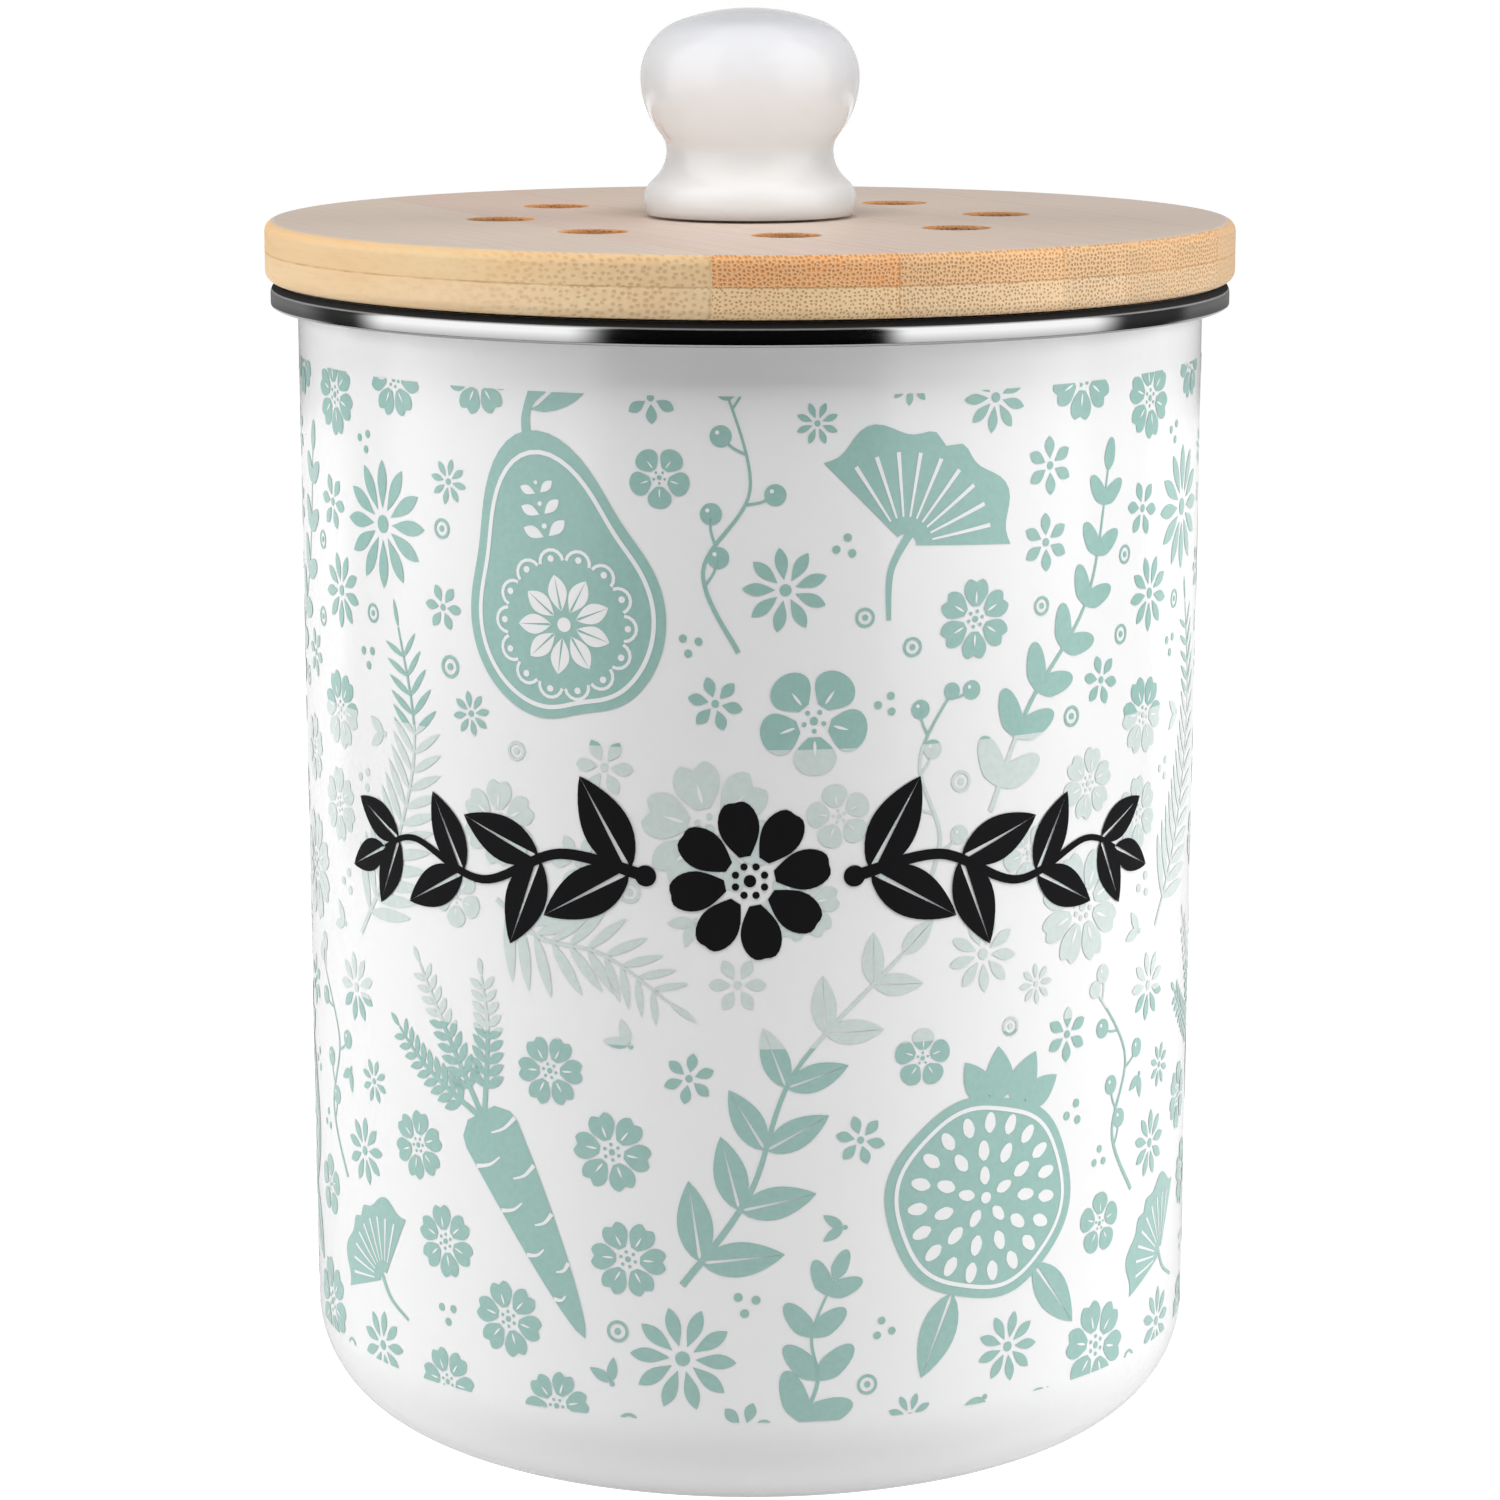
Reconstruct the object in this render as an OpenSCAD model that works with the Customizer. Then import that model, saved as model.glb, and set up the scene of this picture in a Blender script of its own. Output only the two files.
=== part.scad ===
// Countertop compost caddy: an enamelled steel can with a steel rim band, a lift-out
// liner bucket with a wire bail, and a vented bamboo lid that carries a charcoal filter.
// Millimetres, +Z up, origin at the centre of the foot ring on the table.

/* [Can] */
// Height of the can from the table to the top of its rim band
can_h = 215; // [190:1:240]
// Outside diameter of the can wall just under the rim
can_d = 168.2; // [164:0.2:171]
// How much smaller the can's radius is at the foot than at the rim
can_draft = 0.9; // [0:0.1:2]
// Thickness of the enamelled steel sheet
can_wall = 1; // [0.8:0.1:1.2]
// Outside radius of the corner between the wall and the base
can_corner_r = 20.7; // [16:0.1:24]
// Width of the flat ring that the can stands on
foot_w = 8; // [5:0.5:12]
// How far the middle of the base is pressed up from the table
base_recess = 2; // [1:0.1:4]

/* [Rim] */
// How far the turned-out lip stands out from the can wall
lip_w = 4.4; // [4:0.1:5]
// How far the outer edge of the lip turns down
lip_drop = 3.2; // [2.6:0.1:4]
// Inside radius of the bend that turns the wall out into the lip
lip_bend_r = 2; // [1:0.1:2.2]
// Outside radius of the lip's outer edge
lip_edge_r = 1.4; // [1.3:0.05:1.7]
// Thickness of the polished rim band
band_t = 0.5; // [0.3:0.05:0.7]
// Clearance between the rim band and the lip inside it
band_fit = 0.05; // [0.02:0.01:0.1]
// How far the rim band hooks in under the lip
band_hook = 1.6; // [1.2:0.1:2]

/* [Liner bucket] */
// Wall thickness of the liner bucket
liner_wall = 1.5; // [1.2:0.1:1.8]
// How much smaller the liner's radius is at the floor than at the rim
liner_draft = 4; // [2:0.5:7]
// Outside radius of the corner between the liner's wall and floor
liner_corner_r = 20; // [15:0.5:24]
// How far the liner's rim stands out from its wall
liner_rim_w = 4; // [3.4:0.1:5]
// How far the edge of the liner's rim turns down
liner_rim_drop = 6; // [4:0.5:9]
// Outside radius of the edge of the liner's rim
liner_edge_r = 2; // [1.8:0.1:2.4]
// Inside radius of the bend between the liner's wall and its rim
liner_bend_r = 0.8; // [0.5:0.1:1]
// Width of the flat ring that the liner stands on
liner_foot_w = 6; // [4:0.5:9]
// How far the middle of the liner's base stands up from its foot ring
liner_recess = 0.8; // [0.5:0.1:1.5]
// Clearance between the liner's floor and the can's floor
liner_floor_clear = 0.3; // [0.2:0.05:0.5]

/* [Bail] */
// Clearance between the heads of the bail and the wall of the can
bail_side_clear = 0.9; // [0.6:0.1:2]
// Diameter of the bail wire
wire_d = 2.5; // [2:0.1:3]
// Clearance of the wire in the hole of each lug
wire_clear = 0.1; // [0.05:0.05:0.2]
// Clearance between the folded wire and the liner's rim
wire_rest_clear = 0.3; // [0.2:0.05:0.5]
// Diameter of the flattened head on each end of the wire
head_d = 4.2; // [3.6:0.1:5]
// Thickness of the flattened head on each end of the wire
head_t = 1; // [0.7:0.1:1.4]
// Clearance between each head and its lug
head_clear = 0.3; // [0.2:0.1:0.6]
// Thickness of the lug that each end of the bail turns in
lug_t = 2.6; // [2:0.1:3.2]
// Width of each lug
lug_w = 10; // [8:0.5:12]
// How far each lug stands in from the outer edge of the liner's rim
lug_inset = 0.2; // [0.1:0.1:0.5]
// How deep each lug is rooted in the liner's rim
lug_root = 1.25; // [1:0.05:1.4]
// Clearance between each lug and the bend beside it
ankle_clear = 0.4; // [0.2:0.1:1]
// Bend radius beside each lug, to the middle of the wire
ankle_r = 2.5; // [2.2:0.1:3]
// Distance from the pivots to the straight part of the bail
bail_reach = 58; // [50:1:60]
// Width of the bail between the points of its two shoulders
bail_span = 118; // [112:1:122]
// Bend radius of the shoulders, to the middle of the wire
shoulder_r = 18; // [12:1:22]
// How much thinner the wire is along its leaning arms than in its bends
arm_thinner = 0.06; // [0.05:0.01:0.1]
// Diameter of the roll grip
grip_d = 9; // [7:0.5:10]
// Length of the roll grip
grip_l = 70; // [50:1:76]
// Radius of the rounded ends of the roll grip
grip_end_r = 1.5; // [0.5:0.25:2]
// Clearance between the grip's bore and the wire
grip_clear = 0.1; // [0.05:0.05:0.3]
// Clearance between the folded bail and what hangs under the lid
bail_top_clear = 1; // [0.5:0.1:3]

/* [Lid board] */
// Diameter of the lid board
lid_d = 180; // [179:0.2:190]
// Thickness of each of the two bamboo plies
ply_t = 5.55; // [5:0.05:7]
// Radius of the rounded edges of the board
lid_edge_r = 2; // [1:0.25:3]
// Gap between the board and the rim band
lid_gap = 0.3; // [0.2:0.05:0.5]
// Diameter of the vent holes
vent_d = 12; // [8:0.5:14]
// Diameter of the circle that the vent holes lie on
vent_circle_d = 93; // [84:1:98]
// Number of vent holes
vent_count = 8; // [6:1:10]
// Turn of the first vent hole from the X axis
vent_turn = 8; // [0:1:45]
// Width of the eased edge at both ends of each vent hole
vent_ease = 0.5; // [0.3:0.1:0.8]

/* [Seat ring and filter] */
// Diameter of the charcoal filter pad
filter_d = 120; // [116:1:124]
// Thickness of the charcoal filter pad
filter_t = 8; // [7:0.25:10]
// Clearance around the filter pad
filter_clear = 0.6; // [0.3:0.1:0.9]
// How far the seat ring reaches below the filter pad
filter_inset = 0.25; // [0.1:0.05:0.5]
// Clearance between the seat ring and the wall of the can
seat_clear = 3; // [2.4:0.1:4]
// Width of the bevel that guides the seat ring into the can
seat_bevel = 0.8; // [0.5:0.1:0.8]
// Width of the gasket's groove in the seat ring
groove_w = 4; // [3:0.25:5]
// Depth of the gasket's groove
groove_depth = 1.5; // [1:0.1:2]
// Height of the seat ring left below the groove
groove_foot = 1.2; // [1:0.1:2]
// Clearance between the gasket's lips and the wall of the can
gasket_clear = 0.3; // [0.2:0.05:0.5]
// Thickness of each lip of the gasket
gasket_lip_t = 0.9; // [0.6:0.1:1.3]

/* [Clips] */
// Number of clips that hold the filter pad
clip_count = 3; // [3:1:3]
// Turn of the first clip from the X axis
clip_turn = 90; // [0:5:360]
// Thickness of the clips' steel
clip_t = 1.2; // [1:0.1:1.6]
// Distance between a clip's screw and the middle of its tip
clip_l = 15; // [14:0.5:16]
// Radius of the broad end of a clip
clip_end_r = 5; // [4.5:0.1:6]
// Radius of the tip of a clip
clip_tip_r = 3.2; // [2.5:0.1:4]
// Gap above and below a clip
clip_gap = 0.25; // [0.15:0.05:0.35]
// Diameter of the clip screws
clip_screw_d = 3; // [2.5:0.1:3.5]
// Clearance between a clip and its screw
clip_screw_clear = 0.08; // [0.04:0.01:0.1]
// Diameter of the clip screws' heads
clip_head_d = 6; // [5:0.1:7]
// Height of the clip screws' heads
clip_head_h = 1.8; // [1.4:0.1:2.2]
// How far the clip screws reach into the seat ring
clip_screw_depth = 6; // [5:0.25:7]

/* [Knob] */
// Height of the knob
knob_h = 37.9; // [35:0.1:42]
// Diameter of the knob's bulb
bulb_d = 40.6; // [38:0.2:44]
// Height of the bulb's widest part above the knob's underside
bulb_z = 25.3; // [24:0.1:26]
// Radius of the bulb's side above its widest part
bulb_side_r = 11; // [8:0.1:11]
// Radius of the bulb's side below its widest part
bulb_under_r = 16.8; // [12:0.1:17]
// Diameter of the knob's neck
neck_d = 31; // [28:0.2:32]
// Height of the neck above the knob's underside
neck_z = 11.8; // [11:0.1:12]
// Radius of the hollow between the neck and the knob's foot
neck_hollow_r = 7; // [6.8:0.1:9]
// Diameter of the knob's foot
knob_foot_d = 39.6; // [38:0.2:42]
// Radius of the knob's rounded foot
knob_foot_r = 5; // [4.5:0.1:5.5]
// Diameter of the pad under the knob
pad_d = 24; // [16:1:30]
// Thickness of the pad under the knob
pad_t = 0.5; // [0.3:0.1:0.9]

/* [Knob fastening] */
// Diameter of the threaded insert in the knob
insert_d = 8; // [7:0.1:9]
// Length of the threaded insert
insert_l = 18; // [15:0.5:20]
// Clearance for glue around the insert
insert_glue = 0.05; // [0.03:0.01:0.1]
// Diameter of the knob screw
screw_d = 4; // [3.5:0.1:4.5]
// Clearance of the knob screw in the thread of the insert
thread_clear = 0.05; // [0.03:0.01:0.1]
// Clearance of the knob screw in the lid, the pad and the washer
screw_clear = 0.3; // [0.2:0.05:0.5]
// How far the knob screw reaches into the insert
screw_depth = 14; // [10:0.5:14.5]
// Diameter of the knob screw's head
screw_head_d = 8; // [7:0.1:9]
// Height of the knob screw's head
screw_head_h = 2.6; // [2:0.1:3]
// Diameter of the washer
washer_d = 12; // [10:0.5:14]
// Thickness of the washer
washer_t = 1; // [0.6:0.1:1.4]
// Clearance around the washer and above the filter pad in the board's pocket
pocket_clear = 0.4; // [0.3:0.1:0.8]

/* [Hidden] */
$fn = 96;
cut = 0.5; // how far a cutting tool runs past the face that it cuts
bend_overlap = 0.25; // how far the bail's arms run on inside its bends

// Can, from the table up
can_r = can_d / 2;
mouth_r = can_r - can_wall;
can_foot_r = can_r - can_draft;
lip_r = can_r + lip_w;
lip_top = can_h - band_t - band_fit;
lip_bottom = lip_top - lip_drop;
can_wall_h = lip_top - can_wall - lip_bend_r;
can_floor = base_recess + can_wall;

// Lid, from the rim band up
lid_r = lid_d / 2;
lid_bottom = can_h + lid_gap;
ply_joint = lid_bottom + ply_t;
lid_top = ply_joint + ply_t;
knob_bottom = lid_top + pad_t;

// Underside of the lid, downwards
seat_r = mouth_r - seat_clear;
seat_bore_r = filter_d / 2 + filter_clear;
filter_bottom = lid_bottom - filter_t;
seat_bottom = filter_bottom - filter_inset;
groove_bottom = seat_bottom + groove_foot;
clip_r = (seat_r + seat_bore_r) / 2;
clip_top = seat_bottom - clip_gap;
clip_bottom = clip_top - clip_t;
clip_head_top = clip_bottom - clip_gap;
clip_head_bottom = clip_head_top - clip_head_h;

// Bail, worked out from the space between the lid and the can wall
bail_z = clip_head_bottom - bail_top_clear - grip_d / 2;
bail_tip = mouth_r - bail_side_clear;
lug_out = bail_tip - head_t - head_clear;
lug_in = lug_out - lug_t;
ankle_turn = atan2(bail_reach, arm_x() - bail_span / 2);
ankle_run = ankle_r * tan(ankle_turn / 2);
shoulder_run = shoulder_r * tan(ankle_turn / 2);
wire_hole_d = wire_d + 2 * wire_clear;

// Liner, which ends under the folded bail
liner_rim_r = lug_out;
liner_rim_top = bail_z - wire_d / 2 - wire_rest_clear;
liner_bottom = can_floor + liner_floor_clear;
liner_r = liner_rim_r - liner_rim_w;
liner_foot_r = liner_r - liner_draft;
liner_wall_h = liner_rim_top - liner_bottom - liner_wall - liner_bend_r;

// Knob screw, from its head up
pocket_depth = washer_t + screw_head_h + pocket_clear;
screw_head_top = lid_bottom + pocket_depth - washer_t;
screw_end = knob_bottom + screw_depth;
screw_hole_d = screw_d + 2 * screw_clear;

// Where the side of the bail leaves its lug: the bend's corner lies on the pivot line,
// one bend radius and a clearance in from the lug
function arm_x() = lug_in - ankle_clear - ankle_r;

// Half outline of a solid cup: a round corner at the foot, and a wall that leans out to the rim
module cup_2d(foot, rim, h, r) {
    polygon([[0, 0], [foot - r, 0], [foot - r, r], [foot, r], [rim, h], [0, h]]);
    translate([foot - r, r]) quarter_ring_2d(0, r, -90);
}

// Half outline of a hollow cup whose base is pressed up inside a flat foot ring
module pressed_cup_2d(foot, rim, h, r, wall, ring_w, recess) {
    ring_in = foot - r - ring_w;
    floor_in = ring_in + wall * tan(22.5);
    difference() {
        cup_2d(foot, rim, h, r);
        polygon([[-1, -1], [ring_in, -1], [ring_in, 0], [ring_in - recess, recess], [-1, recess]]);
        difference() {
            translate([0, wall]) cup_2d(foot - wall, rim - wall, h - wall, r - wall);
            polygon([
                [-1, 0], [floor_in, 0], [floor_in, wall],
                [floor_in - recess, wall + recess], [-1, wall + recess]
            ]);
        }
    }
}

// Quarter ring around the origin in the quadrant that starts at the given turn
module quarter_ring_2d(inner, outer, turn) {
    rotate(turn)
        intersection() {
            difference() {
                circle(outer);
                if (inner > 0) circle(inner);
            }
            square(outer + 1);
        }
}

// Sheet that bends out from a wall, runs flat and turns down at its edge
module lip_2d(wall_r, edge, top, drop, t, bend, edge_r) {
    translate([wall_r + bend, top - t - bend]) quarter_ring_2d(bend, bend + t, 90);
    translate([wall_r + bend, top - t]) square([edge - edge_r - wall_r - bend, t]);
    translate([edge - edge_r, top - edge_r]) quarter_ring_2d(edge_r - t, edge_r, 0);
    translate([edge - t, top - drop]) square([t, drop - edge_r]);
}

// Rectangle from the axis or from a radius, with rounded outer corners where asked
module disc_2d(r, h, top_round, bottom_round) {
    translate([0, bottom_round]) square([r, h - top_round - bottom_round]);
    if (top_round > 0) {
        translate([0, h - top_round]) square([r - top_round, top_round]);
        translate([r - top_round, h - top_round]) quarter_ring_2d(0, top_round, 0);
    }
    if (bottom_round > 0) {
        square([r - bottom_round, bottom_round]);
        translate([r - bottom_round, bottom_round]) quarter_ring_2d(0, bottom_round, -90);
    }
}

// Straight piece of wire between two points in the plane of the bail
module wire_rod(from, to, d = wire_d) {
    run = to - from;
    translate([from[0], from[1], 0])
        rotate([0, 0, atan2(run[1], run[0])])
            rotate([0, 90, 0]) cylinder(h = norm(run), d = d);
}

// Bend of wire in the plane of the bail
module wire_bend(centre, r, start, sweep) {
    translate([centre[0], centre[1], 0])
        rotate([0, 0, start])
            rotate_extrude(angle = sweep) translate([r, 0]) circle(d = wire_d);
}

// Vent holes through a ply, eased at its lower or upper face where asked
module vents(h, low_ease, high_ease) {
    for (i = [0 : vent_count - 1])
        rotate([0, 0, vent_turn + i * 360 / vent_count])
            translate([vent_circle_d / 2, 0, 0]) {
                translate([0, 0, -cut]) cylinder(h = h + 2 * cut, d = vent_d);
                if (high_ease > 0)
                    translate([0, 0, h - high_ease])
                        cylinder(h = high_ease + cut, d1 = vent_d, d2 = vent_d + 2 * (high_ease + cut));
                if (low_ease > 0)
                    translate([0, 0, -cut])
                        cylinder(h = low_ease + cut, d1 = vent_d + 2 * (low_ease + cut), d2 = vent_d);
            }
}

// Enamelled steel can: leaning wall, round corner, pressed-up base and turned-out lip
module can_shell() {
    color([0.93, 0.93, 0.92])
        rotate_extrude()
            union() {
                pressed_cup_2d(
                    can_foot_r, can_r, can_wall_h, can_corner_r, can_wall, foot_w, base_recess
                );
                lip_2d(can_r, lip_r, lip_top, lip_drop, can_wall, lip_bend_r, lip_edge_r);
            }
}

// Polished band pressed over the lip, hooked in under its edge
module rim_band() {
    inner = band_fit;
    outer = band_fit + band_t;
    color([0.75, 0.76, 0.78])
        rotate_extrude()
            union() {
                translate([can_r + lip_bend_r, lip_top + inner])
                    square([lip_w - lip_bend_r - lip_edge_r, band_t]);
                translate([lip_r - lip_edge_r, lip_top - lip_edge_r])
                    quarter_ring_2d(lip_edge_r + inner, lip_edge_r + outer, 0);
                translate([lip_r + inner, lip_bottom]) square([band_t, lip_drop - lip_edge_r]);
                translate([lip_r, lip_bottom]) quarter_ring_2d(inner, outer, -90);
                translate([lip_r - band_hook, lip_bottom - outer]) square([band_hook, band_t]);
            }
}

// Moulded bucket with a turned-down rim and a lug for each end of the bail
module liner_bucket() {
    color([0.33, 0.34, 0.35])
        difference() {
            union() {
                translate([0, 0, liner_bottom])
                    rotate_extrude()
                        union() {
                            pressed_cup_2d(
                                liner_foot_r, liner_r, liner_wall_h, liner_corner_r,
                                liner_wall, liner_foot_w, liner_recess
                            );
                            lip_2d(
                                liner_r, liner_rim_r, liner_rim_top - liner_bottom,
                                liner_rim_drop, liner_wall, liner_bend_r, liner_edge_r
                            );
                        }
                for (side = [0, 180]) rotate([0, 0, side]) lug();
            }
            for (side = [0, 180])
                rotate([0, 0, side])
                    translate([lug_in - cut, 0, bail_z])
                        rotate([0, 90, 0]) cylinder(h = lug_t + 2 * cut, d = wire_hole_d);
        }
}

// Round-topped lug on the liner's rim, trimmed to the rim's outer face
module lug() {
    root = liner_rim_top - lug_root;
    intersection() {
        translate([lug_in, 0, 0])
            rotate([90, 0, 90])
                linear_extrude(height = lug_t)
                    union() {
                        translate([0, bail_z]) circle(d = lug_w);
                        translate([-lug_w / 2, root]) square([lug_w, bail_z - root]);
                    }
        translate([0, 0, root - cut])
            cylinder(h = bail_z + lug_w - root, r = liner_rim_r - lug_inset);
    }
}

// Wire bail, folded forward over the liner's rim
module bail_wire() {
    arm = [arm_x(), 0];
    shoulder = [bail_span / 2, -bail_reach];
    along = (shoulder - arm) / norm(shoulder - arm);
    color([0.72, 0.73, 0.74])
        translate([0, 0, bail_z])
            union() {
                for (side = [0, 1])
                    mirror([side, 0, 0]) {
                        translate([lug_out + head_clear, 0, 0])
                            rotate([0, 90, 0]) cylinder(h = head_t, d = head_d);
                        wire_rod(arm + [ankle_run, 0], [bail_tip - head_t / 2, 0]);
                        wire_bend([arm[0] + ankle_run, -ankle_r], ankle_r, 90, ankle_turn);
                        wire_rod(
                            arm + along * (ankle_run - bend_overlap),
                            shoulder - along * (shoulder_run - bend_overlap), wire_d - arm_thinner
                        );
                        wire_bend(
                            [shoulder[0] - shoulder_run, shoulder_r - bail_reach],
                            shoulder_r, 270, ankle_turn
                        );
                    }
                wire_rod(
                    [shoulder_run - shoulder[0], -bail_reach],
                    [shoulder[0] - shoulder_run, -bail_reach]
                );
            }
}

// Roll grip that turns on the straight part of the bail
module bail_grip() {
    color([0.20, 0.20, 0.21])
        translate([-grip_l / 2, -bail_reach, bail_z])
            rotate([0, 90, 0])
                difference() {
                    rotate_extrude() disc_2d(grip_d / 2, grip_l, grip_end_r, grip_end_r);
                    translate([0, 0, -cut])
                        cylinder(h = grip_l + 2 * cut, d = wire_d + 2 * grip_clear);
                }
}

// Upper bamboo ply with a rounded top edge
module lid_top_ply() {
    color([0.84, 0.78, 0.71])
        translate([0, 0, ply_joint])
            difference() {
                rotate_extrude() disc_2d(lid_r, ply_t, lid_edge_r, 0);
                vents(ply_t, 0, vent_ease);
                translate([0, 0, -cut]) cylinder(h = ply_t + 2 * cut, d = screw_hole_d);
            }
}

// Lower bamboo ply with a pocket for the knob screw's head
module lid_bottom_ply() {
    color([0.86, 0.74, 0.56])
        translate([0, 0, lid_bottom])
            difference() {
                rotate_extrude() disc_2d(lid_r, ply_t, 0, lid_edge_r);
                vents(ply_t, vent_ease, 0);
                translate([0, 0, -cut]) cylinder(h = ply_t + 2 * cut, d = screw_hole_d);
                translate([0, 0, -cut])
                    cylinder(h = pocket_depth + cut, d = washer_d + 2 * pocket_clear);
            }
}

// Bamboo ring under the board that centres the lid in the can and houses the filter pad
module lid_seat_ring() {
    color([0.82, 0.69, 0.50])
        difference() {
            rotate_extrude()
                difference() {
                    polygon([
                        [seat_bore_r, seat_bottom], [seat_r - seat_bevel, seat_bottom],
                        [seat_r, seat_bottom + seat_bevel], [seat_r, lid_bottom],
                        [seat_bore_r, lid_bottom]
                    ]);
                    translate([seat_r - groove_depth, groove_bottom])
                        square([groove_depth + cut, groove_w]);
                }
            clip_places()
                translate([0, 0, seat_bottom - cut])
                    cylinder(h = clip_screw_depth + cut, d = clip_screw_d);
        }
}

// Silicone gasket: a core in the groove and two lips that reach for the wall of the can
module lid_gasket() {
    core_r = seat_r - groove_depth;
    reach = mouth_r - gasket_clear - core_r;
    color([0.90, 0.90, 0.88])
        translate([0, 0, groove_bottom])
            rotate_extrude()
                union() {
                    translate([core_r, 0]) square([groove_depth, groove_w]);
                    for (z = [0, groove_w - gasket_lip_t])
                        translate([core_r, z]) square([reach, gasket_lip_t]);
                }
}

// Round charcoal pad that lies against the underside of the board
module charcoal_filter() {
    color([0.10, 0.10, 0.11])
        translate([0, 0, filter_bottom]) cylinder(h = filter_t, d = filter_d);
}

// Puts its children at every clip, turned so that X points away from the lid's axis
module clip_places() {
    for (i = [0 : clip_count - 1]) clip_place(i) children();
}

module clip_place(i) {
    rotate([0, 0, clip_turn + i * 360 / clip_count]) translate([clip_r, 0, 0]) children();
}

// Turning clip: broad round end on its screw, narrower tip over the filter pad
module filter_clip(i) {
    lean = asin((clip_end_r - clip_tip_r) / clip_l);
    color([0.72, 0.73, 0.74])
        clip_place(i)
            translate([0, 0, clip_bottom])
                rotate([0, 0, 180])
                    linear_extrude(height = clip_t)
                        difference() {
                            polygon(concat(
                                arc(0, 0, clip_end_r, 90 - lean, 270 + lean, 24),
                                arc(clip_l, 0, clip_tip_r, lean - 90, 90 - lean, 16)
                            ));
                            circle(d = clip_screw_d + 2 * clip_screw_clear);
                        }
}

// Round-headed screw that a clip turns on
module clip_screw(i) {
    shank = seat_bottom + clip_screw_depth - clip_head_top + clip_head_h / 2;
    color([0.62, 0.63, 0.64])
        clip_place(i)
            union() {
                translate([0, 0, clip_head_bottom])
                    rotate_extrude() disc_2d(clip_head_d / 2, clip_head_h, 0, clip_head_h / 2);
                translate([0, 0, clip_head_top - clip_head_h / 2])
                    cylinder(h = shank, d = clip_screw_d);
            }
}

// Half outline of the knob: crown, bulb, neck and rounded foot, all in tangent arcs
module knob_2d() {
    bulb_r = bulb_d / 2;
    neck_r = neck_d / 2;
    foot_r = knob_foot_d / 2;
    crown_h = knob_h - bulb_z;
    side_x = bulb_r - bulb_side_r;
    crown_r = (pow(side_x, 2) + pow(crown_h, 2) - pow(bulb_side_r, 2))
        / (2 * (crown_h - bulb_side_r));
    crown_turn = atan2(bulb_z - knob_h + crown_r, side_x);
    waist = (pow(bulb_r - neck_r, 2) + pow(bulb_z - neck_z, 2)) / (2 * (bulb_r - neck_r));
    waist_r = waist - bulb_under_r;
    under_x = bulb_r - bulb_under_r;
    under_turn = atan2(bulb_z - neck_z, neck_r + waist_r - under_x);
    foot_x = foot_r - knob_foot_r;
    hollow_x = neck_r + neck_hollow_r;
    foot_z = neck_z - sqrt(pow(neck_hollow_r + knob_foot_r, 2) - pow(hollow_x - foot_x, 2));
    foot_turn = atan2(neck_z - foot_z, hollow_x - foot_x);
    sole_turn = -asin(foot_z / knob_foot_r);
    polygon(concat(
        [[0, 0]],
        arc(foot_x, foot_z, knob_foot_r, sole_turn, foot_turn),
        arc(hollow_x, neck_z, neck_hollow_r, 180 + foot_turn, 180, first = 1),
        arc(neck_r + waist_r, neck_z, waist_r, 180, 180 - under_turn, first = 1),
        arc(under_x, bulb_z, bulb_under_r, -under_turn, 0, first = 1),
        arc(side_x, bulb_z, bulb_side_r, 0, crown_turn, first = 1),
        arc(0, knob_h - crown_r, crown_r, crown_turn, 90, first = 1)
    ));
}

// Points of an arc around a centre; where arcs join, the next one leaves out its first
function arc(x, y, r, start, end, steps = 10, first = 0) = [
    for (i = [first : steps])
        let (turn = start + (end - start) * i / steps)
        [x + r * cos(turn), y + r * sin(turn)]
];

// Glazed ceramic knob with a blind hole for its insert
module knob() {
    color([0.96, 0.96, 0.95])
        translate([0, 0, knob_bottom])
            difference() {
                rotate_extrude() knob_2d();
                translate([0, 0, -cut])
                    cylinder(h = insert_l + cut, d = insert_d + 2 * insert_glue);
            }
}

// Brass insert glued into the knob
module knob_insert() {
    color([0.80, 0.64, 0.32])
        translate([0, 0, knob_bottom])
            difference() {
                cylinder(h = insert_l, d = insert_d);
                translate([0, 0, -cut])
                    cylinder(h = insert_l + 2 * cut, d = screw_d + 2 * thread_clear);
            }
}

// Screw that holds the knob from inside the lid's pocket
module knob_screw() {
    color([0.70, 0.71, 0.72])
        union() {
            translate([0, 0, screw_head_top - screw_head_h])
                rotate_extrude() disc_2d(screw_head_d / 2, screw_head_h, 0, screw_head_h / 3);
            translate([0, 0, screw_head_top - screw_head_h / 2])
                cylinder(h = screw_end - screw_head_top + screw_head_h / 2, d = screw_d);
        }
}

// Washer between the screw's head and the bottom of the pocket
module knob_washer() {
    color([0.66, 0.67, 0.68])
        translate([0, 0, screw_head_top])
            difference() {
                cylinder(h = washer_t, d = washer_d);
                translate([0, 0, -cut]) cylinder(h = washer_t + 2 * cut, d = screw_hole_d);
            }
}

// Thin pad that keeps the knob off the board
module knob_pad() {
    color([0.40, 0.38, 0.36])
        translate([0, 0, lid_top])
            difference() {
                cylinder(h = pad_t, d = pad_d);
                translate([0, 0, -cut]) cylinder(h = pad_t + 2 * cut, d = screw_hole_d);
            }
}

can_shell();
rim_band();
liner_bucket();
bail_wire();
bail_grip();
lid_top_ply();
lid_bottom_ply();
lid_seat_ring();
lid_gasket();
charcoal_filter();
filter_clip(0);  // filter_clip_1
filter_clip(1);  // filter_clip_2
filter_clip(2);  // filter_clip_3
clip_screw(0);  // clip_screw_1
clip_screw(1);  // clip_screw_2
clip_screw(2);  // clip_screw_3
knob();
knob_insert();
knob_screw();
knob_washer();
knob_pad();
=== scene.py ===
"""Looks of a countertop compost caddy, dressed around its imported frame.

Every piece is in metres and in the frame's own axes: +Z up, origin under the can's foot ring.
"""
import logging
import math
import random
from dataclasses import dataclass
from enum import Enum
from functools import cache
from typing import Callable, NamedTuple, Sequence

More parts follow.
